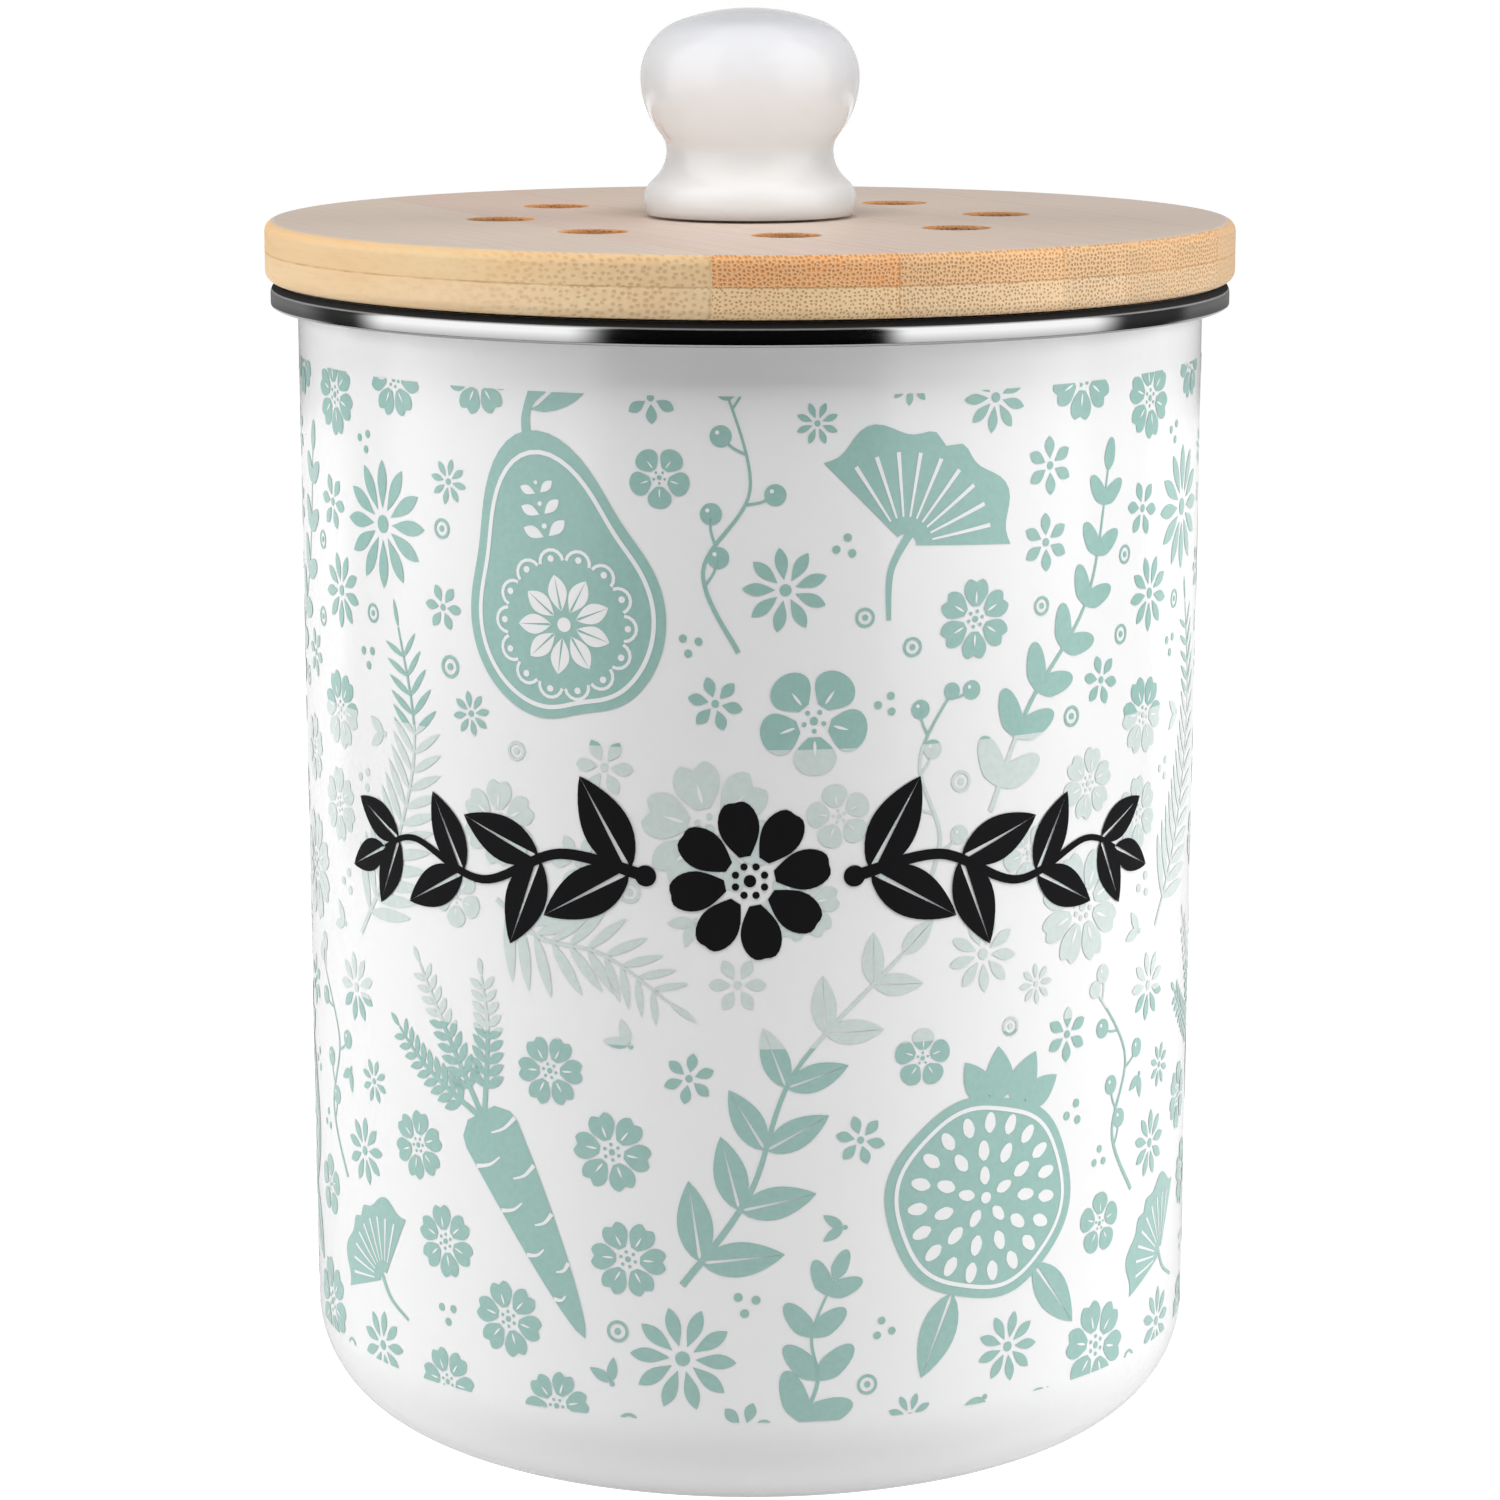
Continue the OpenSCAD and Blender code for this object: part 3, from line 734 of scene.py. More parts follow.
class Shader(Graph):
    """A procedural material on object coordinates."""

    middling: Span = (0.3, 0.7)

    def __init__(self, name: str, **values: object) -> None:
        """Starts a material.

        Args:
            name: Name of the material.
            values: Constant values of the Principled shader's sockets; _ stands for a space.
        """
        self.material = bpy.data.materials.new(name)
        self.material.use_nodes = True
        super().__init__(self.material.node_tree)
        self.surface = self.tree.nodes["Principled BSDF"]
        self.where = self.value("ShaderNodeTexCoord", key="Object")
        self.set(**values)

    def set(self, **values: object) -> Material:
        """Fills in the Principled shader's sockets, _ standing for a space, and returns the material."""
        self.feed(self.surface, {label.replace("_", " "): value for label, value in values.items()})
        return self.material

    def show(self, surface: Value) -> Material:
        """Puts another shader in the Principled one's place.

        Args:
            surface: The other shader.

        Returns:
            The material.
        """
        self.tree.nodes.remove(self.surface)
        self.feed(self.tree.nodes["Material Output"], {"Surface": surface})
        return self.material

    def placed(self, scale: Colour = (1.0, 1.0, 1.0), turn: float = 0.0) -> Value:
        """Returns object coordinates turned round Z by an angle in degrees, then scaled."""
        turned = self.value("ShaderNodeMapping", {0: self.where, "Rotation": (0.0, 0.0, math.radians(turn))})
        return self.value("ShaderNodeMapping", {0: turned, "Scale": scale})

    def noise(
        self, scale: float, detail: float = 3.0, where: Value | None = None, rough: float = 0.5
    ) -> Value:
        """Returns noise of some size per metre."""
        inputs = {"Vector": where or self.where, "Scale": scale, "Detail": detail, "Roughness": rough}
        return self.value("ShaderNodeTexNoise", inputs, "Fac")

    def span(self, value: Term, low: float, high: float, to_low: float = 0.0, to_high: float = 1.0) -> Value:
        """Maps a value from one range to another, clamped."""
        ends = {"From Min": low, "From Max": high, "To Min": to_low, "To Max": to_high}
        return self.value("ShaderNodeMapRange", {"Value": value} | ends)

    def ramp(self, value: Value, stops: Sequence[tuple[float, Colour]], steps: bool = False) -> Value:
        """Adds a colour ramp.

        Args:
            value: What picks the colour, from 0 to 1.
            stops: Positions and colours, in order.
            steps: Whether the colour jumps at a stop.

        Returns:
            The colour.
        """
        made = self.node("ShaderNodeValToRGB", {0: value})
        bar = made.color_ramp
        bar.interpolation = "CONSTANT" if steps else "EASE"
        first, last = bar.elements
        first.position = stops[0][0]
        last.position = max(stops[-1][0], last.position) if steps else stops[-1][0]
        for place, _ in stops[1:] if steps else stops[1:-1]:
            bar.elements.new(place)
        for element, (_, colour) in zip(bar.elements, [*stops, stops[-1]]):
            element.color = (*colour, 1.0)
        return Value(self, made.outputs["Color"])

    def mix(self, share: Term, a: Value | Colour, b: Value | Colour, blend: str = "MIX") -> Value:
        """Mixes two colours and returns the result."""
        return self.value("ShaderNodeMix", {0: share, 6: a, 7: b}, 2, data_type="RGBA", blend_type=blend)

    def cloudy(self, colour: Colour, shade: float, cloud: Value) -> Value:
        """Returns a colour that drifts to a darker shade of itself."""
        return self.mix(cloud, shaded(colour, shade), colour)

    def patchy(self, roughness: float, scale: float, less: float, more: float) -> Value:
        """Returns a roughness that drifts between two shares of itself."""
        return self.span(self.noise(scale), *self.middling, roughness * less, min(1.0, roughness * more))

    def veiled(self, tone: Value, value: Value, veil: Veil) -> Value:
        """Returns a colour under a veil that follows a value."""
        return self.mix(self.span(value, veil.low, veil.high, 0.0, veil.share), tone, veil.tint)

    def bump(self, height: Value, distance: float, under: Value | None = None) -> Value:
        """Returns the normal of a bump, laid over an earlier one, whose height of 1 is so many metres."""
        inputs = {"Height": height, "Distance": distance, "Strength": 1.0}
        return self.value("ShaderNodeBump", inputs | ({"Normal": under} if under else {}))

    def relief(self, *layers: Relief) -> Value:
        """Lays bumps of noise one over another.

        Args:
            layers: The bumps, the lowest first.

        Returns:
            The normal.
        """
        normal = None
        for layer in layers:
            normal = self.bump(self.noise(layer.scale, layer.detail), layer.height, normal)
        return normal


# --- Finishes ---

class Paint:
    """Base of the finishes: a material is built once and then shared."""

    name: str

    def build(self) -> Material:
        """Builds the material."""
        raise NotImplementedError

    @cache
    def material(self) -> Material:
        """Returns the finish's material, which is built at its first use."""
        return self.build()

    def on(self, piece: Object) -> None:
        """Gives a piece this finish all over."""
        piece.data.materials.clear()
        piece.data.materials.append(self.material())


@dataclass(frozen=True)
class Enamel(Paint):
    """Fired glossy enamel: almost flat, with a slow waviness and fine pinholes."""

    name: str = "enamel"
    colour: Colour = (0.86, 0.862, 0.86)
    shade: float = 0.985
    cloud_scale: float = 9.0
    roughness: float = 0.13
    patch_scale: float = 60.0
    patch: Span = (0.85, 1.2)
    wave: Relief = Relief(26.0, 1.0, 0.0001)
    peel: Relief = Relief(520.0, 2.0, 0.0000035)

    def build(self) -> Material:
        """Builds the material.

        Returns:
            The material.
        """
        s = Shader(self.name, Roughness=self.roughness, IOR=1.52, Coat_Weight=0.3, Coat_Roughness=0.05)
        return s.set(
            Base_Color=s.cloudy(self.colour, self.shade, s.noise(self.cloud_scale, 2.0)),
            Roughness=s.patchy(self.roughness, self.patch_scale, *self.patch),
            Normal=s.relief(self.wave, self.peel),
        )


@dataclass(frozen=True)
class PrintInk(Paint):
    """Ceramic ink fired into the enamel, paler inside a band round the can."""

    name: str = "print_ink"
    colour: Colour = (0.315, 0.515, 0.468)
    faded: Colour = (0.62, 0.7, 0.678)
    band: Span = (0.088, 0.141)
    roughness: float = 0.2
    coat: float = 0.3
    shine: float = 0.5
    speck_scale: float = 900.0
    speck: tuple[float, float, float, float] = (0.35, 0.65, 0.965, 1.02)
    wave: Relief = Relief(26.0, 1.0, 0.0001)

    def build(self) -> Material:
        """Builds the material.

        Returns:
            The material.
        """
        s = Shader(self.name, Roughness=self.roughness, IOR=1.5, Specular_IOR_Level=self.shine,
                   Coat_Weight=self.coat, Coat_Roughness=0.06)
        z = s.split(s.where)[2]
        low, high = self.band
        inside = s.maths("GREATER_THAN", z, low) * s.maths("LESS_THAN", z, high)
        tone = s.mix(inside, self.colour, self.faded)
        speck = s.span(s.noise(self.speck_scale, 2.0), *self.speck)
        grey = s.value("ShaderNodeCombineColor", {0: speck, 1: speck, 2: speck})
        return s.set(Base_Color=s.mix(1.0, tone, grey, "MULTIPLY"), Normal=s.relief(self.wave))


@dataclass(frozen=True)
class Metal(Paint):
    """Bright metal with a grain that follows its last working.

    Above its shoulder's height and outside its radius it carries a painted shadow: near black, with no metal
    shine. Below its hem it is painted darker, as a painted dark reflection.
    """

    name: str
    colour: Colour
    roughness: float
    grain: Colour
    grain_height: float
    blotch: float
    # shoulder and shoulder_blend place the painted shadow; hem and hem_share place the painted dark
    # reflection
    shoulder: Span | None = None
    shoulder_blend: Span = (0.0004, 0.0003)
    hem: Span | None = None
    hem_share: float = 0.62
    # near-black colour of the painted shadow and of the painted dark reflection
    painted_shade: Colour = (0.03, 0.03, 0.03)
    shade: float = 0.93
    wear_scale: float = 35.0
    smoothest: float = 0.02
    smeared: Span = (0.7, 1.3)

    def build(self) -> Material:
        """Builds the material.

        Returns:
            The material.
        """
        s = Shader(self.name, Metallic=1.0)
        marks, worn = s.noise(1.0, 4.0, s.placed(self.grain)), s.noise(self.wear_scale)
        tone = s.cloudy(self.colour, self.shade, worn)
        z = s.split(s.where)[2]
        # painted dark reflection: the band's colour darkens towards its lower edge
        if self.hem:
            tone = s.mix(s.span(z, *self.hem, self.hem_share, 0.0), tone, self.painted_shade)
        # painted shadow under the lid: near black and without shine above the shoulder
        if self.shoulder:
            flat = s.value("ShaderNodeVectorMath", {0: s.where, 1: (1.0, 1.0, 0.0)}, operation="MULTIPLY")
            (low, inside), (up, out) = self.shoulder, self.shoulder_blend
            share = s.span(z, low, low + up) * s.span(s.length(flat), inside, inside + out)
            tone = s.mix(share, tone, self.painted_shade)
            bright = 1.0 - share
            s.set(Metallic=bright, Specular_IOR_Level=bright * 0.5)
        low, high = max(self.smoothest, self.roughness - self.blotch / 2), self.roughness + self.blotch
        rough = s.span(marks + worn, *self.smeared, low, high)
        return s.set(Base_Color=tone, Roughness=rough, Normal=s.bump(marks, self.grain_height))


@dataclass(frozen=True)
class Moulded(Paint):
    """Moulded plastic or rubber with a fine spark-eroded grain and a little dust."""

    name: str
    colour: Colour
    roughness: float = 0.45
    grain_scale: float = 1400.0
    grain_height: float = 0.00001
    glow: float = 0.0
    dust: Colour = (0.6, 0.6, 0.58)
    dust_share: float = 0.03
    dust_scale: float = 70.0
    dusty: Span = (0.5, 0.75)
    shade: float = 0.9
    cloud_scale: float = 14.0
    patch_scale: float = 110.0
    patch: Span = (0.88, 1.15)

    def build(self) -> Material:
        """Builds the material.

        Returns:
            The material.
        """
        s = Shader(self.name, Roughness=self.roughness, IOR=1.49, Subsurface_Weight=self.glow,
                   Subsurface_Scale=0.002)
        toned = s.cloudy(self.colour, self.shade, s.noise(self.cloud_scale))
        settled = s.span(s.noise(self.dust_scale, 5.0), *self.dusty) * self.dust_share
        return s.set(
            Base_Color=s.mix(settled, toned, self.dust),
            Roughness=s.patchy(self.roughness, self.patch_scale, *self.patch),
            Normal=s.relief(Relief(self.grain_scale, 2.0, self.grain_height)),
        )


@dataclass(frozen=True)
class Glaze(Paint):
    """White glaze over a turned ceramic body, thin and warm where it runs off an edge, with a painted cool
    grey shade over its top.
    """

    name: str = "glazed_knob"
    colour: Colour = (0.78, 0.778, 0.775)
    warm: Colour = (0.76, 0.735, 0.7)
    # cool grey of the painted shade over the knob's top
    painted_crown_shade: Colour = (0.66, 0.665, 0.69)
    roughness: float = 0.07
    foot: float = KNOB_FOOT
    foot_glaze: float = 0.0012
    foot_share: float = 0.85
    # heights over which the painted shade on the top comes in
    crown: Span = (0.243, 0.262)
    cloud_scale: float = 55.0
    cloud: Span = (0.45, 0.8)
    cloud_share: float = 0.35
    wave: Relief = Relief(45.0, 1.0, 0.00018)
    peel: Relief = Relief(700.0, 2.0, 0.000003)

    def build(self) -> Material:
        """Builds the material.

        Returns:
            The material.
        """
        s = Shader(self.name, Roughness=self.roughness, IOR=1.54, Coat_Weight=0.15, Coat_Roughness=0.03,
                   Subsurface_Weight=1.0, Subsurface_Radius=(1.0, 1.0, 1.0), Subsurface_Scale=0.011)
        z = s.split(s.where)[2]
        cloud = s.span(s.noise(self.cloud_scale), *self.cloud) * self.cloud_share
        # the top turns to the painted cool grey shade
        toned = s.mix(s.span(z, *self.crown), s.mix(cloud, self.colour, self.warm), self.painted_crown_shade)
        bare = s.span(z, self.foot, self.foot + self.foot_glaze, self.foot_share, 0.0)
        return s.set(Base_Color=s.mix(bare, toned, self.warm), Normal=s.relief(self.wave, self.peel))


@dataclass(frozen=True)
class Felt(Paint):
    """Charcoal-loaded felt, dusty where the fibres stand out."""

    name: str = "charcoal"
    colour: Colour = (0.018, 0.018, 0.02)
    dusty: Colour = (0.065, 0.065, 0.07)
    dust_scale: float = 160.0
    dust: Span = (0.4, 0.7)
    tufts: Relief = Relief(900.0, 5.0, 0.0004)

    def build(self) -> Material:
        """Builds the material.

        Returns:
            The material.
        """
        s = Shader(self.name, Roughness=0.95, Sheen_Weight=0.25, Sheen_Roughness=0.6)
        share = s.span(s.noise(self.dust_scale, 5.0), *self.dust)
        return s.set(Base_Color=s.mix(share, self.colour, self.dusty), Normal=s.relief(self.tufts))


class Cut(Enum):
    """Which way a bamboo surface is cut."""

    FACE = "bamboo_top"
    EDGE = "bamboo_edge"
    BORE = "bamboo_bore"


@dataclass(frozen=True)
class Bamboo(Paint):
    """Laminated bamboo: strips glued side by side, their fibres all along one grain line."""

    cut: Cut
    grain_turn: float = 65.0
    joints: tuple[float, ...] = (-0.0855, -0.044, -0.0137, 0.0182, 0.0329, 0.062)
    upper_tints: tuple[Colour, ...] = (
        (0.81, 0.595, 0.335), (0.81, 0.595, 0.335), (0.8, 0.32, 0.09), (0.71, 0.385, 0.17),
        (0.58, 0.345, 0.172), (0.55, 0.335, 0.172), (0.55, 0.39, 0.24),
    )
    lower_tints: tuple[Colour, ...] = (
        (0.87, 0.66, 0.4), (0.87, 0.66, 0.4), (0.9, 0.63, 0.34), (0.79, 0.565, 0.335),
        (0.65, 0.47, 0.29), (0.55, 0.39, 0.235), (0.55, 0.39, 0.235),
    )
    crowding: tuple[float, ...] = (0.66, 0.66, 1.0, 1.0, 0.95, 0.95, 0.8)
    boldness: tuple[float, ...] = (0.52, 0.52, 1.0, 1.0, 1.0, 0.9, 0.4)
    faded_in: Span = (-0.08, -0.062)
    rind: Span = (-0.0895, -0.07)
    rind_share: float = 0.25
    rind_tint: Colour = (0.42, 0.3, 0.18)
    face_tint: Colour = (0.585, 0.505, 0.455)
    face_share: float = 0.86
    reach: float = 0.1
    glue_z: float = LID_JOINT
    glue_half: float = 0.00024
    glue_core: float = 0.4
    glue_patch: tuple[float, float, float, float] = (0.35, 0.65, 0.2, 0.7)
    glue_tint: Colour = (0.5, 0.27, 0.11)
    top_z: float = 0.2258
    brink: tuple[float, float, float] = (0.0002, 0.0009, 0.2)
    brink_tint: Colour = (0.72, 0.39, 0.15)
    fibre_scale: float = 1360.0
    fibre_jitter: float = 0.72
    fibre_stretch: float = 0.012
    fibre_shift: float = 0.0371
    fibre_r: Span = (0.2, 0.34)
    fibre_blur: float = 0.1
    net: Span = (0.06, 0.2)
    drift: float = 0.0035
    drift_scale: Colour = (7.0, 40.0, 40.0)
    streak_scale: Colour = (16.0, 900.0, 900.0)
    fine_scale: Colour = (60.0, 3200.0, 3200.0)
    cloud_scale: Colour = (9.0, 120.0, 260.0)
    cloud: Veil = Veil(0.35, 0.7, 0.35, (0.8, 0.47, 0.22))
    face_streak: Veil = Veil(0.42, 0.72, 0.22, shaded(face_tint, 0.72))
    face_line: Veil = Veil(0.5, 0.75, 0.1, (0.42, 0.3, 0.2))
    edge_streak: Veil = Veil(0.45, 0.75, 0.25, (0.62, 0.33, 0.13))
    pith: Colour = (0.9, 0.73, 0.5)
    core: Colour = (0.38, 0.16, 0.05)
    pith_share: float = 0.62
    core_share: float = 0.66
    core_boldness: float = 0.9
    net_boldness: float = 0.75
    sunk: float = 0.8
    bore_share: float = 0.72
    bore_tint: Colour = (0.46, 0.2, 0.07)
    face_depth: float = 0.00004
    edge_depth: float = 0.00012
    seam_depth: float = 0.00002
    streak_roughness: float = 0.62
    glue_scale: float = 260.0
    swell_scale: float = 60.0
    roughness: Span = (0.4, 0.6)

    @property
    def name(self) -> str:
        """Name of its material and slot."""
        return self.cut.value

    def build(self) -> Material:
        """Builds the material.

        Returns:
            The material.
        """
        s = Shader(self.name, Roughness=0.5, IOR=1.46)
        along, across, up = s.split(s.placed(turn=self.grain_turn))
        drift = s.noise(1.0, 2.0, s.placed(self.drift_scale, self.grain_turn))
        upper = s.maths("GREATER_THAN", up, self.glue_z)
        old = s.span(across, *self.rind, self.rind_share, 0.0)
        plies = [self._per_strip(s, across, tints) for tints in (self.lower_tints, self.upper_tints)]
        cloud = s.noise(1.0, 3.0, s.placed(self.cloud_scale, self.grain_turn))
        tone = s.mix(old, s.veiled(s.mix(upper, *plies), cloud, self.cloud), self.rind_tint)
        crowding = self._per_strip(s, across, [(v, v, v) for v in self.crowding])
        bold = self._per_strip(s, across, [(v, v, v) for v in self.boldness]) * s.span(across, *self.faded_in)
        bent = across + (drift - 0.5) * self.drift
        place = s.join(bent * crowding, up * crowding, along * self.fibre_stretch)
        cores, net = self._fibres(s, place, upper)
        streak = s.noise(1.0, 5.0, s.placed(self.streak_scale, self.grain_turn), self.streak_roughness)
        fine = s.noise(1.0, 3.0, s.placed(self.fine_scale, self.grain_turn))
        if self.cut is Cut.FACE:
            tone = s.mix(self.face_share, tone, self.face_tint)
            tone = s.veiled(s.veiled(tone, streak, self.face_streak), fine, self.face_line)
            normal = s.bump(streak * 0.5 + fine * 0.5, self.face_depth)
        else:
            tone = s.veiled(tone, streak, self.edge_streak)
            deep, pale = s.mix(self.core_share, tone, self.core), s.mix(self.pith_share, tone, self.pith)
            tone = s.mix(cores * (bold * self.core_boldness), tone, deep)
            tone = s.mix(net * (bold * bold * self.net_boldness), tone, pale)
            normal = s.bump(1.0 - cores * (bold * self.sunk), self.edge_depth)
        if self.cut is Cut.BORE:
            tone = s.mix(self.bore_share, tone, self.bore_tint)
        seam = self._seams(s, across, up)
        tone = s.mix(seam * s.span(s.noise(self.glue_scale, 2.0), *self.glue_patch), tone, self.glue_tint)
        if self.cut is Cut.EDGE:
            brink = s.span(s.maths("ABSOLUTE", up - self.top_z), *self.brink, 0.0)
            tone = s.mix(brink, tone, self.brink_tint)
        normal = s.bump(1.0 - seam, self.seam_depth, normal)
        rough = s.span(streak, *s.middling, *self.roughness)
        return s.set(Base_Color=tone, Roughness=rough, Normal=normal)

    def _per_strip(self, s: Shader, across: Value, values: Sequence[Colour]) -> Value:
        """Returns the one of the strips' values that holds at a place across the grain."""
        stops = [0.0, *((joint + self.reach) / (2 * self.reach) for joint in self.joints)]
        return s.ramp(s.span(across, -self.reach, self.reach), list(zip(stops, values)), steps=True)

    def _fibres(self, s: Shader, place: Value, upper: Value) -> tuple[Value, Value]:
        """Returns the fibre bundles' dark cores and the pale net between them.

        Args:
            s: The shader.
            place: Place across the grain, up, and a little along it.
            upper: 1 in the upper ply and 0 in the lower.

        Returns:
            Two values from 0 to 1.
        """
        shift = s.join(upper * self.fibre_shift)
        shifted = s.value("ShaderNodeVectorMath", {0: place, 1: shift}, operation="ADD")
        cells, edges = (
            s.value("ShaderNodeTexVoronoi", {
                "Vector": shifted, "Scale": self.fibre_scale, "Randomness": self.fibre_jitter,
            }, "Distance", voronoi_dimensions="2D", feature=feature)
            for feature in ("F1", "DISTANCE_TO_EDGE")
        )
        grown = s.span(s.noise(self.swell_scale), *s.middling, *self.fibre_r)
        cores = 1.0 - s.span(cells - grown, -self.fibre_blur, self.fibre_blur)
        return cores, 1.0 - s.span(edges, *self.net)

    def _seams(self, s: Shader, across: Value, up: Value) -> Value:
        """Returns 1 in a glue line and 0 beside it.

        Args:
            s: The shader.
            across: Place across the grain.
            up: Height.

        Returns:
            The value.
        """
        found = s.maths("ABSOLUTE", up - self.glue_z)
        for joint in self.joints[1:]:
            found = s.maths("MINIMUM", found, s.maths("ABSOLUTE", across - joint))
        return 1.0 - s.span(found, self.glue_half * self.glue_core, self.glue_half)


# --- Can and rim band ---

@dataclass
class Can:
    """Enamelled can: leaning wall, round corner, pressed-up base and turned-out lip."""

    wall_r: float = 0.0841
    foot_r: float = 0.0832
    sheet: float = 0.001
    corner_r: float = 0.0207
    foot_w: float = 0.008
    foot_edge_r: float = 0.0007
    recess: float = 0.002
    recess_mitre: float = 22.5
    wall_top: float = 0.21145
    lip_r: float = 0.0885
    lip_top: float = 0.21445
    lip_bottom: float = 0.21125
    bend_r: float = 0.002
    edge_r: float = 0.0014
    wave: float = 0.00002
    wave_gap: int = 4
    wave_turns: tuple[tuple[int, int], ...] = ((3, 9), (2, 14))
    longest: float = 0.006
    sides: int = 256
    finish: Enamel = Enamel()

    def profile(self) -> Profile:
        """Returns the can's half outline, from the middle of its underside round to its floor.

        Returns:
            The outline.
        """
        e, t, r, slope = self.foot_edge_r, self.sheet, self.corner_r, self.recess
        corner_x, lip_x = self.foot_r - r, self.wall_r + self.bend_r
        edge_x, edge_z = self.lip_r - self.edge_r, self.lip_top - self.edge_r
        inner_x = corner_x - self.foot_w
        floor_x = inner_x + t * math.tan(math.radians(self.recess_mitre))
        return densify([
            (0.0, slope), (inner_x - slope, slope), (inner_x - e, e), *arc(inner_x, e, e, 225, 270, 4)[1:],
            *arc(corner_x, r, r, -90, 0, 20),
            *arc(lip_x, self.wall_top, self.bend_r, 180, 90, 6),
            *arc(edge_x, edge_z, self.edge_r - t, 90, 0, 4),
            *arc(self.lip_r - t / 2, self.lip_bottom + t / 2, t / 2, 180, 360, 6),
            *arc(edge_x, edge_z, self.edge_r, 0, 90, 8),
            *arc(lip_x, self.wall_top, self.bend_r + t, 90, 180, 8),
            *arc(corner_x, r, r - t, 0, -90, 20),
            (floor_x, t), (floor_x - slope, slope + t), (0.0, slope + t),
        ], self.longest)

    def stray(self, turn: float, height: float) -> float:
        """Returns how far the drawn sheet strays from a true round.

        Args:
            turn: Angle round the axis.
            height: Height.

        Returns:
            The change of radius, 0 at the foot and from just below the lip on.
        """
        if height > self.wall_top - self.wave_gap * self.bend_r:
            return 0.0
        rise = math.sin(math.pi * height / self.wall_top)
        (a, a_lean), (b, b_lean) = self.wave_turns
        swing = math.sin(a * turn + a_lean * height) * math.cos(b * turn - b_lean * height)
        return -self.wave * rise * (1 + swing)

    def build(self) -> None:
        """Puts the can in place of its CAD node."""
        piece = lathe("can_enamel", self.profile(), self.sides, stray=self.stray)
        self.finish.on(piece)
        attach(piece, "can")
        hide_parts("can_shell")


@dataclass
class RimBand:
    """Polished band pressed over the lip and hooked in under its edge."""

    can: Can
    start_r: float = 0.0861
    band: float = 0.0005
    fit: float = 0.00005
    hook: float = 0.0016
    longest: float = 0.0015
    sides: int = 320
    # its finish paints a shadow on the band's top shoulder and a dark reflection towards its lower edge
    finish: Metal = Metal(
        "polished_steel", (0.95, 0.95, 0.95), 0.075, (30.0, 30.0, 4200.0), 0.0000006, 0.03, (0.2136, 0.0873),
        hem=(0.2108, 0.2128),
    )

    def profile(self) -> Profile:
        """Returns the band's closed half outline.

        Returns:
            The outline.
        """
        lip_r, top, bottom, r = self.can.lip_r, self.can.lip_top, self.can.lip_bottom, self.can.edge_r
        inner, outer = self.fit, self.fit + self.band
        tip, half = lip_r - self.hook, self.band / 2
        return densify([
            (self.start_r, top + outer),
            *arc(lip_r - r, top - r, r + outer, 90, 0, 14),
            *arc(lip_r, bottom, outer, 0, -90, 10),
            *arc(tip + half, bottom - inner - half, half, 270, 90, 6),
            *arc(lip_r, bottom, inner, -90, 0, 3),
            *arc(lip_r - r, top - r, r + inner, 0, 90, 10),
            (self.start_r, top + inner),
        ], self.longest)

    def build(self) -> None:
        """Puts the band in place of its CAD node."""
        piece = lathe("rim_band_steel", self.profile(), self.sides)
        self.finish.on(piece)
        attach(piece, "can")
        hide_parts("rim_band")


# --- Print ---

class Motif:
    """A printed shape: ink, and bare enamel on top of it."""

    def __init__(self, ink: Flat | None = None, bare: Flat | None = None) -> None:
        """Starts a motif with what there is of it."""
        self.ink, self.bare = ink or Flat(), bare or Flat()

    def add(self, other: "Motif", *place: float) -> None:
        """Adds a copy of another motif, moved along and up, turned and scaled."""
        self.ink.copy_of(other.ink, *place)
        self.bare.copy_of(other.bare, *place)


def round_path(radius: Callable[[float], float], share: float, sides: int) -> list[Vector]:
    """Returns a closed path at a share of an outline's radius."""
    return [Vector(polar(radius(turn) * share, turn)) for turn in steps_of(0, FULL_TURN, sides + 1)]


